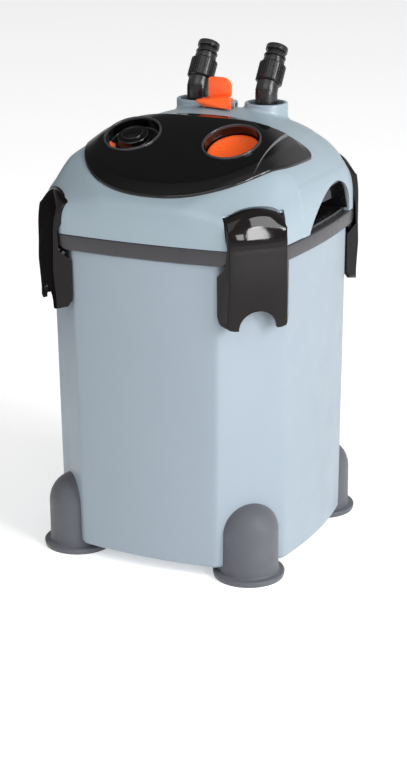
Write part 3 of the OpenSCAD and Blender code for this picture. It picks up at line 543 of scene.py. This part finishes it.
# ---- head shell: dense dome skin with a wall, then every opening cut out
def makeHead(plan):
    around, rings = 400, 64
    angles = [2 * math.pi * k / around for k in range(around)]

    def skin(extra):
        # extra is 0 for the outer skin and 1 for the inner one, which runs deeper behind the corners
        rows = []
        for j in range(rings):
            s = 1 - (j / rings) ** 2.6
            row = []
            for angle in angles:
                corner = ease(1 - abs((math.degrees(angle) % 90) - 45) / 20)
                x, y, z = domePoint(s, angle, extra * (plan["wall"] + plan["cornerWall"] * corner))
                # the field round each hand recess stays proud, and the rest of the skin steps back
                field = ease((plan["fieldHalf"] - abs(y - gripPlan["y"])) / plan["fieldEase"])
                field *= ease((plan["fieldTop"] - z) / plan["fieldEase"]) * (abs(x) > plan["fieldX"])
                back = 0 if field > 0.99 or z >= plan["stepTop"] else plan["fieldStep"] * (1 - field)
                shrink = 1 - (1 - extra) * back / max(1, math.hypot(x, y))
                row.append((x * shrink, y * shrink, shellZ if j == 0 else z))
            rows.append(row)
        rows.append([domePoint(0, 0, extra * plan["wall"])] * around)
        return rows

    outer, inner = skin(0), skin(1)
    piece = makePiece("head_shell_dome", *loft(list(reversed(outer)) + inner))
    tools = []
    for side in (-1, 1):
        tools.append(wellDrill(side, wellPlan["gap"]))
        deep = bandMid - gripPlan["depth"] - 1
        rows = [[(side * x, y, z) for y, z in gripOutline()] for x in (deep, bandMid + 3)]
        tools.append(loft(rows, caps=True))
    for index in range(4):
        tools.append(pocketTool(index))
    gland = Matrix.Translation((0, 60, glandPlan["z"])) @ Matrix.Rotation(-math.pi / 2, 4, "X")
    r = glandPlan["radius"] + glandPlan["gap"]
    tools.append(lathe([(0, 0), (r, 0), (r, 60), (0, 60)], gland))
    combine(piece, makePiece("tool", *joined(*tools)))
    tools = []
    for side in (-1, 1):   # hose openings, hidden by the collars
        place = Matrix.Translation((side * hosePlan["x"], hosePlan["y"], bandTop))
        r = collarPlan["radius"] - 1
        tools.append(lathe([(0, 0), (r, 0), (r, 95), (0, 95)], place))
    combine(piece, makePiece("tool", *joined(*tools)))
    w, d = leverPlan["slotHalf"]
    x0, y0 = leverPlan["x"], leverPlan["y"] - 1
    slot = [(x0 - w, y0 - d), (x0 + w, y0 - d), (x0 + w, y0 + d), (x0 - w, y0 + d)]
    rows = [[(x, y, z) for x, y in slot] for z in (leverPlan["z"] - 40, leverPlan["z"] + 8)]
    combine(piece, makePiece("tool", *loft(rows, caps=True)))
    return piece


dress(makeHead(domePlan), lidShell, "head", ["head_shell"], 32)
print("head shell made")


def makeRecessLightPatch(side, name, plan):
    # grey wall that closes the upper part of a hand recess: painted light, lighter than the black liner so that
    # the upper recess reads as lit
    edge = [(y, z + plan["wallOver"]) for y, z in gripOutline() if z > shellZ + plan["wallLow"]]
    rows = [[(side * x, y, z) for y, z in edge] for x in (plan["wallX"], plan["wallX"] + plan["wallThick"])]
    return makePiece("recess_light_patch_" + name, *loft(rows, caps=True))


# painted light: grey walls high in each hand recess, where light falls on its inner side
for side, name in ((-1, "left"), (1, "right")):
    dress(makeRecessLightPatch(side, name, gripPlan), innerPlastic, "head", ())
print("recess walls made")

# ---- control panel: polished cap on the front of the dome, with its edge rolled over
panelPlan = {"x": 3, "right": 78.5, "left": 80, "front": 90, "power": 2.3, "back": 11, "corner": 6,
             "height": 3.6, "edge": 1.4, "bevel": 9, "roll": 0.8, "wellGap": 0.1, "middleY": -30, "under": -1.0,
             "shoulder": 2.6, "shoulderY": -40, "shoulderWidth": 20, "creaseFrom": (62.5, 8),
             "creaseTo": (65.5, -56), "creaseSlope": 0.06, "creaseRound": 1.6, "wedgeSlope": 0.36,
             "wedgeWidth": 2.0}


def panelOutline(inset):
    # a full curve in front, cut straight at the back, with round corners where the two meet
    plan = panelPlan
    r, power = plan["corner"], 2 / plan["power"]
    cornerY = plan["back"] - r
    points = []
    for k in range(161):
        t = math.pi * k / 160
        a = (plan["right"] if k > 80 else plan["left"]) - inset
        x = plan["x"] - math.copysign(a * abs(math.cos(t)) ** power, math.cos(t))
        y = cornerY - (plan["front"] - inset) * math.sin(t) ** power
        away = (y - plan["shoulderY"]) / plan["shoulderWidth"]
        points.append((x + plan["shoulder"] * math.exp(-away ** 2) * (k > 80), y))
    right, left = plan["x"] + plan["right"] - r, plan["x"] - plan["left"] + r
    points += arc(right, cornerY, r - inset, 0, 90, 10)[1:]
    points += [(right + (left - right) * k / 40, plan["back"] - inset) for k in range(1, 40)]
    points += arc(left, cornerY, r - inset, 90, 180, 10)[:-1]
    return points


def besideCrease(point, plan):
    # distance to the right of the crease in mm, and the share of the crease that is still ahead
    start, end = Vector(plan["creaseFrom"]), Vector(plan["creaseTo"])
    along, run = (end - start).normalized(), (end - start).length
    place = point.xy / mm - start
    return place.x * -along.y + place.y * along.x, 1 - place.dot(along) / run


def foldPanel(piece, plan):
    # a crease with a narrow wedge facet beside it, widest at the back edge
    start, end = Vector(plan["creaseFrom"]), Vector(plan["creaseTo"])
    wide = start + Vector((plan["wedgeWidth"], 0))
    work = bmesh.new()
    work.from_mesh(piece.data)
    for a, b in ((start, end), (wide, end)):
        side = (b - a).normalized()
        bmesh.ops.bisect_plane(work, geom=work.verts[:] + work.edges[:] + work.faces[:], dist=1e-6,
                               plane_co=(a.x * mm, a.y * mm, 0), plane_no=(-side.y, side.x, 0))
    most = plan["height"] - plan["edge"]
    for vert in work.verts:
        beyond, share = besideCrease(vert.co, plan)
        if beyond <= 0 or share <= 0:
            continue
        x, y, z = (value / mm for value in vert.co)
        rise = z - domeZ(x, y) - plan["edge"]
        if rise < 0.02:   # the rolled edge and the underside stay
            continue
        wedge = plan["wedgeSlope"] * min(beyond, plan["wedgeWidth"] * min(1, share))
        fall = min(plan["creaseSlope"] * beyond + wedge, most)
        vert.co.z -= fall * min(1, rise / plan["creaseRound"]) * mm
    work.to_mesh(piece.data)
    work.free()


def makePanel(plan):
    def lifted(x, y, height, deep=0):
        # deep is the distance in from the edge: a bevel climbs from the thin rim to the full height
        bevel = (plan["height"] - plan["edge"]) * min(1, deep / plan["bevel"])
        return x, y, domeZ(x, y, -height - bevel)

    def shrunk(points, share):
        # the outline drawn in towards the middle of the panel
        return [(x0 + (x - x0) * share, y0 + (y - y0) * share) for x, y in points]

    x0, y0 = plan["x"], plan["middleY"]
    top, r, under = plan["edge"], plan["roll"], plan["under"]
    outline, edge = panelOutline(0), panelOutline(r)
    rows = [[lifted(x0, y0, under)] * len(edge)]
    for share in (0.2, 0.4, 0.6, 0.8, 1):
        rows.append([lifted(x, y, under) for x, y in shrunk(outline, share)])
    for u, v in arc(0, 0, r, 0, 90, 5):
        rows.append([lifted(x, y, top - r + v) for x, y in panelOutline(r - u)])
    reaches = [math.hypot(x - x0, y - y0) for x, y in edge]
    for k in range(1, 45):
        share = 1 - k / 45
        rows.append([lifted(x, y, top, (1 - share) * reach)
                     for (x, y), reach in zip(shrunk(edge, share), reaches)])
    rows.append([lifted(x0, y0, top, 50)] * len(edge))
    piece = makePiece("control_panel_cap", *loft(rows))
    foldPanel(piece, plan)
    drills = [wellDrill(side, plan["wellGap"]) for side in (-1, 1)]
    combine(piece, makePiece("tool", *joined(*drills)))
    return piece


def paintCreaseHighlight(piece, plan):
    # the wedge facet takes the grey finish, a painted highlight for the light line along the crease
    piece.data.materials.append(creaseHighlightPaint)
    for face in piece.data.polygons:
        beyond, share = besideCrease(face.center, plan)
        if share > 0 and 0 < beyond < plan["wedgeWidth"] * min(1, share) and face.normal.z > 0.2:
            face.material_index = 1


panel = dress(makePanel(panelPlan), panelAbs, "head", ["control_panel"], 18.5)
# painted highlight: the crease facet is coloured light grey
paintCreaseHighlight(panel, panelPlan)
print("control panel made")

# ---- wells, bezels, knob and button, turned on the tilted axes of the wells
knobPlan = {"well": 7, "radius": 12, "cup": 24, "button": 18.4, "buttonDepth": 6, "scaleFrom": 200,
            "scaleSweep": 85, "scale": ((13.6, -5.4), (17.0, -2.9), (17.3, -3.4), (13.9, -6.9))}


def turned(name, profile, place, material, body, nodes, sharp=30):
    return dress(makePiece(name, *lathe(profile, place, 128)), material, body, nodes, sharp)


def makeBezels():
    r, rim = wellPlan["radius"], wellPlan["rim"]
    profile = [(r, 0), (r, 1.1)] + arc(r + rim / 2, 1.1, rim / 2, 180, 0, 8) + [(r + rim, 0)]
    for side, name in ((-1, "left"), (1, "right")):
        turned("bezel_%s_ring" % name, profile, wellPlace(side), greyTrim, "head", ["bezel_" + name])


def makeKnobCup(plan):
    # shallow bowl, rounded where its wall meets the floor
    r, depth = wellPlan["radius"], plan["well"]
    outer = r + wellPlan["rim"]
    bowl = [(0, -depth - 3), (outer, -depth - 3), (outer, 0), (r, 0)]
    bowl += arc(r - 1.5, -depth + 1.5, 1.5, 0, -90, 5) + [(0, -depth)]
    turned("knob_cup_bowl", bowl, wellPlace(-1), panelAbs, "head", ["knob_cup"])


def makePrimeCup(plan):
    # deep straight bowl that the button slides in
    r, cup = wellPlan["radius"], plan["cup"]
    outer = r + wellPlan["rim"]
    bowl = [(0, -cup), (outer, -cup), (outer, 0), (r, 0), (r, -cup + 2.5), (0, -cup + 2.5)]
    turned("prime_cup_bowl", bowl, wellPlace(1), panelAbs, "head", ["prime_cup"])


def makeScale(plan):
    # a scale that runs round the front left of the knob only
    rows = []
    for k in range(41):
        turn = math.radians(plan["scaleFrom"] + plan["scaleSweep"] * k / 40)
        rows.append([wellPlace(-1) @ Vector((radius * math.cos(turn), radius * math.sin(turn), height))
                     for radius, height in plan["scale"]])
    return makePiece("knob_ring_scale", *loft(rows, caps=True))


def makeKnob(plan):
    # three steps, each with a rounded edge, on a short stem
    base, r = -plan["well"] + 0.3, plan["radius"]
    profile = [(0, base - 6), (3, base - 6), (3, base), (r, base)] + arc(r - 0.8, base + 3, 0.8, 0, 90, 4)
    profile += arc(r - 1.9, base + 6.2, 1, 0, 90, 4) + [(r - 4.3, base + 7.4)]
    profile += arc(r - 4.9, base + 8.2, 0.6, 0, 90, 4)
    profile += [(r - 7, base + 9.3), (3, base + 9.8), (0, base + 9.9)]
    turned("knob_body", profile, wellPlace(-1), panelAbs, "dial", ["knob"])


def makeButton(plan):
    # a wide cap with a dished face on a stem that reaches the bottom of its cup
    low, r, face = -plan["cup"] - 1, plan["button"], -plan["buttonDepth"]
    profile = [(0, low), (6, low), (6, face - 5), (r, face - 5)] + arc(r - 0.8, face - 0.8, 0.8, 0, 90, 5)
    profile += [(r - 3, face - 0.1), (r - 4, face - 0.7), (0, face - 1.2)]
    turned("prime_button_cap", profile, wellPlace(1), orangeAbs, "primer", ["prime_button"])


makeBezels()
makeKnobCup(knobPlan)
dress(makeScale(knobPlan), orangeAbs, "head", ["knob_ring"], 30)
makeKnob(knobPlan)
makePrimeCup(knobPlan)
makeButton(knobPlan)
print("wells made")


# ---- collars with a fillet on to the dome
def makeCollar(side):
    plan = collarPlan
    steps, r, f = 96, plan["radius"], plan["fillet"]
    x0, y0 = side * hosePlan["x"], hosePlan["y"]
    angles = [2 * math.pi * k / steps for k in range(steps)]

    def ringRow(radius, height, follow):
        row = []
        for angle in angles:
            x, y = x0 + radius * math.cos(angle), y0 + radius * math.sin(angle)
            row.append((x, y, (domeZ(x, y) if follow else 0) + height))
        return row

    inside = r - plan["wall"]
    rows = [ringRow(inside, hosePlan["blockTop"], False), ringRow(r - 0.6, hosePlan["blockTop"], False)]
    rows.append(ringRow(r - 0.6, -2, True))
    rows.append(ringRow(r + f, -0.35, True))
    rows += [ringRow(r + f + u, f + v, True) for u, v in arc(0, 0, f, -90, -180, 6)]
    q = plan["round"]
    rows += [ringRow(r - q + u, plan["top"] - q + v, False) for u, v in arc(0, 0, q, 0, 90, 5)]
    rows += [ringRow(inside + q + u, plan["top"] - q + v, False) for u, v in arc(0, 0, q, 90, 180, 5)]
    return makePiece("collar_%s_ring" % ("left" if side < 0 else "right"), *loft(rows, loop=True))


for side, name in ((-1, "left"), (1, "right")):
    dress(makeCollar(side), lidShell, "head", ["collar_" + name], 30)
print("collars made")

# ---- hose tails: one smooth pipe with an elbow, a neck for the nut, and barbs
tailPlan = {"pipe": 8, "bend": 316.5, "lean": 35, "bendR": 8.8, "nutZ": 6, "nutH": 15, "barb": 14, "neck": 6.4,
            "bore": 5.0, "socket": 7.2}


def makeTail(side):
    # stations are (distance along the pipe from the middle of its elbow, radius)
    plan = tailPlan
    lean = math.radians(plan["lean"])
    run = plan["bendR"] * math.tan(lean / 2)
    p, neck, bore, low = plan["pipe"], plan["neck"], plan["bore"], plan["nutZ"]
    end = low + plan["nutH"]
    tip = end + plan["barb"]
    stations = [(-(plan["bend"] - hosePlan["blockTop"] + plan["socket"]), p), (-run, p)]
    stations += [(0.1 * k * run, p) for k in range(-9, 0, 2)]
    stations += [(-0.3, p), (-0.2, p + 0.25), (0.2, p + 0.25), (0.3, p)]   # seam bead round the elbow
    stations += [(0.1 * k * run, p) for k in range(2, 10, 2)]
    stations += [(run, p), (low - 0.6, p), (low - 0.2, p - 0.4), (low - 0.2, neck), (end + 0.2, neck)]
    stations += [(end + 0.2, p - 0.5), (end + 0.5, p - 0.2), (end + 2.9, p - 0.2), (end + 3.2, p - 0.6)]
    stations += [(end + 3.2, neck + 0.2), (end + 4.8, neck + 0.2), (end + 5, p - 0.3), (end + 5.3, p)]
    stations += [(end + 6.0, p), (end + 9, neck + 0.1), (tip - 4, neck), (tip - 4, p - 0.3), (tip - 3.7, p)]
    stations += [(tip - 0.8, p), (tip - 0.2, p - 0.25), (tip, p - 0.8), (tip, bore + 0.5), (tip - 0.6, bore)]
    stations += [(tip - 14, bore), (tip - 14, 0)]
    stations.insert(0, (stations[0][0], 0))
    rows = []
    for along, radius in stations:
        t = min(1, max(0, (along + run) / (2 * run)))   # share of the elbow that is behind this ring
        turn = lean * t
        if along <= -run:
            centre = Vector((0, 0, along))
        elif along >= run:
            centre = Vector((0, math.sin(lean) * along, math.cos(lean) * along))
        else:
            centre = Vector((0, plan["bendR"] * (1 - math.cos(turn)), plan["bendR"] * math.sin(turn) - run))
        place = Matrix.Translation(Vector((side * hosePlan["x"], hosePlan["y"], plan["bend"])) + centre)
        place = place @ Matrix.Rotation(-turn, 4, "X")
        rows.append(ring(radius, 0, place, 72))
    return makePiece("hose_tail_%s_pipe" % ("left" if side < 0 else "right"), *loft(rows))


for side, name in ((-1, "left"), (1, "right")):
    dress(makeTail(side), fittingNylon, "tail_" + name, ["hose_tail_" + name], 35)
print("hose tails made")

# ---- hose nuts: Geometry Nodes set the ribs round a turned sleeve
nutPlan = {"radius": 9.1, "ribs": 32, "ribHeight": 0.6, "ribWidth": 0.95, "length": 15, "bore": 6.45,
           "chamfer": 0.8}


def ribTree(material):
    tree = bpy.data.node_groups.new("ribbed sleeve", "GeometryNodeTree")
    face = tree.interface
    face.new_socket("Geometry", in_out="INPUT", socket_type="NodeSocketGeometry")
    face.new_socket("Ribs", in_out="INPUT", socket_type="NodeSocketInt")
    for label in ("Radius", "Rib Width", "Rib Height", "Rib Length"):
        face.new_socket(label, in_out="INPUT", socket_type="NodeSocketFloat")
    face.new_socket("Geometry", in_out="OUTPUT", socket_type="NodeSocketGeometry")
    given = addNode(tree, "NodeGroupInput").outputs
    circle = addNode(tree, "GeometryNodeMeshCircle", None,
                     {"Vertices": given["Ribs"], "Radius": given["Radius"]})
    size = addNode(tree, "ShaderNodeCombineXYZ", None, {"X": given["Rib Height"], "Y": given["Rib Width"],
                                                        "Z": given["Rib Length"]})
    rib = addNode(tree, "GeometryNodeMeshCube", {"Vertices Z": 2}, {"Size": size.outputs[0]})
    spot = addNode(tree, "GeometryNodeInputPosition")
    turn = addNode(tree, "FunctionNodeAlignRotationToVector", {"axis": "X"}, {"Vector": spot.outputs[0]})
    copies = addNode(tree, "GeometryNodeInstanceOnPoints", None,
                     {"Points": circle.outputs[0], "Instance": rib.outputs[0], "Rotation": turn.outputs[0]})
    real = addNode(tree, "GeometryNodeRealizeInstances", None, {0: copies.outputs[0]})
    both = addNode(tree, "GeometryNodeJoinGeometry")
    tree.links.new(given["Geometry"], both.inputs[0])
    tree.links.new(real.outputs[0], both.inputs[0])
    coat = addNode(tree, "GeometryNodeSetMaterial", {"Material": material}, {0: both.outputs[0]})
    addNode(tree, "NodeGroupOutput", None, {0: coat.outputs[0]})
    return tree


def makeNut(side, name, tree):
    plan = nutPlan
    r, h, c = plan["radius"], plan["length"], plan["chamfer"]
    profile = [(plan["bore"], 0), (r - c, 0), (r, c), (r, h - c), (r - c, h), (plan["bore"], h)]
    piece = makePiece("hose_nut_%s_grip" % name, *lathe(profile, Matrix.Translation((0, 0, -h / 2)), 96))
    change = piece.modifiers.new("ribs", "NODES")
    change.node_group = tree
    wanted = {"Ribs": plan["ribs"], "Radius": r * mm, "Rib Width": plan["ribWidth"] * mm,
              "Rib Height": 2 * plan["ribHeight"] * mm, "Rib Length": (h - 2 * c) * mm}
    for item in tree.interface.items_tree:
        if item.in_out == "INPUT" and item.name in wanted:
            change[item.identifier] = wanted[item.name]
    piece.update_tag()
    bake(piece)
    place = Matrix.Translation(Vector((side * hosePlan["x"], hosePlan["y"], tailPlan["bend"])) * mm)
    place = place @ Matrix.Rotation(-math.radians(tailPlan["lean"]), 4, "X")
    piece.data.transform(place @ Matrix.Translation((0, 0, (tailPlan["nutZ"] + h / 2) * mm)))
    return piece


nutTree = ribTree(fittingNylon)
for side, name in ((-1, "left"), (1, "right")):
    dress(makeNut(side, name, nutTree), fittingNylon, "nut_" + name, ["hose_nut_" + name], 30)
print("hose nuts made")


# ---- latches: hollow covers with an arched nose, two cheeks and a finger arch
def latchSide(index, inner):
    # closed outline (distance, height) of the cover seen from its side, or of the hollow in it
    plan = latchPlan
    z0, thick = bendZ(index), plan["thick"]
    noseZ = z0 + plan["noseR"] - plan["noseLong"]   # centre of the long arc from the top to the plate
    chamfer = bodySize(190)[1]
    top = bodyPlan["rimZ"] - 0.6
    drop = top - plan["cheekSlope"] * (bandCut - bodySize(top)[1])
    if inner:
        r = plan["noseR"] - thick
        return (arc(hingeD, noseZ, r, 90, 0, 10, (plan["noseLong"] - thick) / r)
                + [(latchD - thick, bodyPlan["rimZ"]), (latchD - thick + plan["flare"], plan["low"] - 4),
                   (plan["hollowD"], plan["low"] - 4), (plan["hollowD"], z0 - 6), (hingeD - 4, z0 - 3)])
    nose = arc(hingeD, hingeZ(index), plan["barrelR"], 185, 90, 6)
    nose += arc(hingeD, noseZ, plan["noseR"], 90, 0, 16, plan["noseLong"] / plan["noseR"])[1:]
    return nose + [(latchD, bodyPlan["rimZ"]), (latchD + 0.5, 210), (latchD + plan["flare"], 190),
                   (latchD + plan["flare"], plan["low"]), (chamfer + 3.5, plan["low"] + 1.5),
                   (chamfer + 1.0, plan["low"] + 5), (bodySize(drop)[1] + 0.5, drop), (bandCut + 0.8, top),
                   (bandCut + 0.8, plan["clipZ"]), (hingeD + 1, z0 - 0.5), (hingeD - 3, hingeZ(index) - 3.2)]


def latchLoft(index, inner):
    plan = latchPlan
    outline = latchSide(index, inner)
    half = plan["width"] / 2 + 0.3 if not inner else plan["width"] / 2 - plan["cheek"] + 0.3
    count = len(outline)
    normals = []
    for i in range(count):
        (x0, z0), (x1, z1) = outline[i - 1], outline[(i + 1) % count]
        length = math.hypot(x1 - x0, z1 - z0)
        normals.append(((z0 - z1) / length, (x1 - x0) / length))
    edge = plan["edgeRound"]
    flat = half - edge
    if inner:
        stations = [half] + [k / 6 * half for k in range(6)]
    else:
        stations = [flat + edge * math.sin(math.radians(t)) for t in range(0, 91, 15)]
        stations += [k / 6 * flat for k in range(6)]
    widths = sorted({-w for w in stations} | set(stations))
    rows = []
    for w in widths:
        into = abs(w) - flat
        pull = edge - math.sqrt(max(0, edge * edge - into * into)) if into > 0 and not inner else 0
        corner = min(plan["cornerRound"] - 0.05, max(0, abs(w) - half + plan["cornerRound"]))
        facet = plan["facetSlope"] * softMax(abs(w) - plan["facetFrom"], 0, 0.8)
        row = []
        for (x, z), (nx, nz) in zip(outline, normals):
            outer = ease((x - bandCut - 1) / 3) if z < bendZ(index) else 1
            lift = archDrop(index, w, z)
            crown = (plan["crown"] * (w / half) ** 2 + facet) * outer
            px, pz = x - pull * nx * outer - crown, z - pull * nz * outer - lift
            if z < plan["low"] + 6:
                pz += plan["cornerRound"] - math.sqrt(plan["cornerRound"] ** 2 - corner * corner)
            skirt = plan["skirt"] * w / half * min(1, max(0, (latchD - x) / 10)) if z < bodyPlan["rimZ"] else 0
            row.append((px, w + skirt, pz))
        rows.append(row)
    return rows


def makeLatch(index, name):
    plan = latchPlan
    place = cornerPlace(index)
    rows = [[place @ Vector(point) for point in row] for row in latchLoft(index, False)]
    piece = makePiece("latch_%s_cover" % name, *loft(rows, caps=True))
    rows = [[place @ Vector(point) for point in row] for row in latchLoft(index, True)]
    hollow = loft(rows, caps=True)
    combine(piece, makePiece("tool", *hollow))
    half, high = plan["notchW"] / 2, plan["notchH"]   # finger arch
    arch = [(half, -6)] + arc(0, 0, half, 0, 180, 20, high / half) + [(-half, -6)]
    rows = [[place @ Vector((x, w, plan["low"] + z)) for w, z in arch] for x in (latchD - 6, latchD + 8)]
    combine(piece, makePiece("tool", *loft(rows, caps=True)))
    return piece


for index, name in enumerate(("rr", "rl", "fl", "fr")):
    dress(makeLatch(index, name), latchAbs, "catch_" + name, ["latch_" + name], 38)
print("latches made")

# ---- feet: a turned rubber boot, cut away where the canister stands in it
footPlan = {"d": 95, "radius": 20.6, "flange": 25, "flangeH": 4, "height": 54, "lip": 1.2, "fillet": 1.6}


def makeFoot(index, name):
    plan = footPlan
    r, f, q = plan["radius"], plan["flange"], plan["fillet"]
    lip, top = plan["lip"], plan["height"] - plan["radius"]
    profile = [(0, 0), (f - 0.6, 0)] + arc(f - lip, plan["flangeH"] - lip, lip, -20, 90, 6)
    profile += [(r + q + x, plan["flangeH"] + q + y) for x, y in arc(0, 0, q, -90, -180, 5)]
    profile += [(r, top)] + arc(0, top, r, 4, 90, 20)
    place = cornerPlace(index) @ Matrix.Translation((plan["d"], 0, 0))
    piece = makePiece("foot_%s_boot" % name, *lathe(profile, place, 96))
    angles = planAngles(bodyPlan["mid"], bodyPlan["cut"], bodyPlan["bulge"])
    edge = bodyPlan["bottomRound"]
    levels = [(edge - x, bodyPlan["baseZ"] + y) for x, y in arc(0, edge, edge, -90, 0, 5)] + [(0, 80)]
    rows = [planRow(angles, z, *bodySize(z, inset), bodyPlan["bulge"], bodyPlan["soft"]) for inset, z in levels]
    combine(piece, makePiece("tool", *loft(rows, caps=True)))
    return piece


for index, name in enumerate(("rr", "rl", "fl", "fr")):
    dress(makeFoot(index, name), footRubber, "canister", ["foot_" + name], 40)
print("feet made")


# ---- lever: a faceted paddle and a rounded tab on a hub
def makeLever(plan):
    hubPlace = Matrix.Translation((plan["x"], plan["y"], plan["z"])) @ Matrix.Rotation(math.pi / 2, 4, "Y")
    half = plan["width"] / 2 + 1.6
    r, bore = plan["hub"], plan["pin"] + 0.05
    hub = [(bore, -half), (r - 0.5, -half), (r, -half + 0.5), (r, half - 0.5), (r - 0.5, half), (bore, half)]
    piece = makePiece("lever_handle", *lathe(hub, hubPlace, 48))
    w, h = plan["width"], plan["height"]
    q = plan["tabRound"]
    outline = [(-plan["tabOver"], 0), (w - 3, 0)] + arc(w - q, q + 1, q, -50, 0, 6)
    outline += arc(w - q, h - q, q, 0, 90, 10) + arc(0.9, h - 1.6, 1.6, 90, 180, 4)
    left = plan["x"] - w / 2
    rows = [[(left + x, y, plan["z"] + z) for x, z in outline] for y in (plan["y"], plan["y"] + plan["thick"])]
    tab = makePiece("tool", *loft(rows, caps=True))
    soften(tab, 0.5)
    combine(piece, tab, "UNION")
    work = bmesh.new()
    for corner in plan["paddle"]:
        work.verts.new(Vector(corner) * mm)
    bmesh.ops.convex_hull(work, input=work.verts)
    mesh = bpy.data.meshes.new("tool")
    work.to_mesh(mesh)
    work.free()
    paddle = bpy.data.objects.new("tool", mesh)
    bpy.context.scene.collection.objects.link(paddle)
    soften(paddle, 0.9)
    combine(piece, paddle, "UNION")
    return piece


def soften(piece, width):
    # round the sharp edges of a tool before it is joined on
    change = piece.modifiers.new("soften", "BEVEL")
    change.width = width * mm
    change.segments = 3
    change.limit_method = "ANGLE"
    change.angle_limit = math.radians(20)
    bake(piece)


dress(makeLever(leverPlan), orangeAbs, "valve_handle", ["lever"], 30)
print("lever made")

# ---- carried-over nodes: the finish of each
finishes = {
    lidShell: ["lever_bracket"],
    darkAbs: ["head_deck", "port_block", "handle_insert_left", "handle_insert_right", "cord_gland",
              "motor_housing", "pump_chamber", "lamp_holder", "chamber_cover", "latch_hook_fl", "latch_hook_fr",
              "latch_hook_rl", "latch_hook_rr"],
    innerPlastic: ["intake_riser", "impeller"],
    sealRubber: ["seal_ring", "tail_seals"],
    steel: ["lever_pin", "latch_pins", "foot_screws", "cover_screws", "valve_spindle"],
    ceramic: ["impeller_shaft", "ceramic_media"],
    glass: ["quartz_sleeve", "uv_lamp"],
    basketPlastic: ["basket_low", "basket_mid", "basket_top"],
    coarseFoam: ["coarse_sponge"],
    fineFloss: ["fine_pad"],
}
for material, names in finishes.items():
    for name in names:
        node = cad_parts[name]
        for materialSlot in node.material_slots:
            materialSlot.material = material
        if not node.material_slots:
            node.data.materials.append(material)
print("carried nodes finished")

# ---- floor and light
studioPlan = {"floor": 9, "floorTone": "#ECECEC", "world": "#FFFFFF", "worldStrength": 0.55,
              "flagAt": (-0.41, 0.48, 0.77), "flagInner": 18, "flagOuter": 40, "flagShare": 0.16,
              "floorGlow": 0.4}


def makeStudio(plan):
    # white tent with one dark flag above and behind, which the black parts mirror
    size = plan["floor"]
    mesh = bpy.data.meshes.new("floor")
    corners = [(-size, -size, 0), (size, -size, 0), (size, size, 0), (-size, size, 0)]
    mesh.from_pydata(corners, [], [(0, 1, 2, 3)])
    floor = bpy.data.objects.new("floor", mesh)
    bpy.context.scene.collection.objects.link(floor)
    material, tree, shader, place = blankMaterial("paleFloor", {"Base Color": linear(plan["floorTone"]),
                                                                "Roughness": 0.8, "Specular IOR Level": 0.2,
                                                                "Emission Color": linear("#FFFFFF"),
                                                                "Emission Strength": plan["floorGlow"]})
    mesh.materials.append(material)
    world = bpy.data.worlds.new("studio")
    world.use_nodes = True
    bpy.context.scene.world = world
    tree = world.node_tree
    tree.nodes.clear()
    way = addNode(tree, "ShaderNodeTexCoord").outputs["Generated"]
    near = addNode(tree, "ShaderNodeVectorMath",
                   {"operation": "DOT_PRODUCT", 1: Vector(plan["flagAt"]).normalized()}, {0: way})
    light = addNode(tree, "ShaderNodeMapRange",
                    {"interpolation_type": "SMOOTHSTEP", "From Min": math.cos(math.radians(plan["flagOuter"])),
                     "From Max": math.cos(math.radians(plan["flagInner"])), "To Min": plan["worldStrength"],
                     "To Max": plan["worldStrength"] * plan["flagShare"]}, {"Value": near.outputs["Value"]})
    backdrop = addNode(tree, "ShaderNodeBackground", {"Color": linear(plan["world"])},
                       {"Strength": light.outputs[0]})
    addNode(tree, "ShaderNodeOutputWorld", None, {"Surface": backdrop.outputs[0]})


def addCard(name, x, near, far, top):
    # black card that only the glossy parts mirror: it keeps the catches dark and leaves no shadow
    mesh = bpy.data.meshes.new(name)
    mesh.from_pydata([(x, near, 0.001), (x, far, 0.001), (x, far, top), (x, near, top)], [], [(0, 1, 2, 3)])
    mesh.materials.append(blankMaterial("blackCard", {"Base Color": linear("#050505"), "Roughness": 0.9})[0])
    card = bpy.data.objects.new(name, mesh)
    bpy.context.scene.collection.objects.link(card)
    card.visible_camera = card.visible_shadow = card.visible_diffuse = False


def addSoftbox(name, place, target, size, power):
    lamp = bpy.data.lights.new(name, "AREA")
    lamp.shape = "RECTANGLE"
    lamp.size, lamp.size_y = size
    lamp.energy = power
    piece = bpy.data.objects.new(name, lamp)
    bpy.context.scene.collection.objects.link(piece)
    aim = (Vector(target) - Vector(place)).to_track_quat("-Z", "Y")
    piece.matrix_world = Matrix.Translation(place) @ aim.to_matrix().to_4x4()


makeStudio(studioPlan)
addCard("card_left", -0.5, -0.12, 0.42, 0.42)
addSoftbox("softbox_front", (0.6, -5.0, 5.0), (0, 0.6, 0), (6.0, 4.0), 130)
addSoftbox("softbox_right", (2.4, -0.6, 1.5), (0, 0, 0.2), (1.2, 1.2), 48)
# window panes that the front catch mirrors: bearing in degrees, height, size and power of each
windowPlan = {"aim": (0.08, -0.08), "far": 1.4,
              "panes": {"tall": (-24.5, 0.45, (0.12, 0.42), 5.0), "side": (-9, 0.57, (0.14, 0.30), 4.2),
                        "low": (-31, 0.36, (0.12, 0.20), 1.2)}}
for name, (bearing, height, size, power) in windowPlan["panes"].items():
    (x0, y0), far, way = windowPlan["aim"], windowPlan["far"], math.radians(bearing)
    addSoftbox("window_" + name, (x0 + far * math.cos(way), y0 + far * math.sin(way), height), (x0, y0, 0.25),
               size, power)
bpy.context.scene.view_settings.view_transform = "Standard"
print("studio lit")
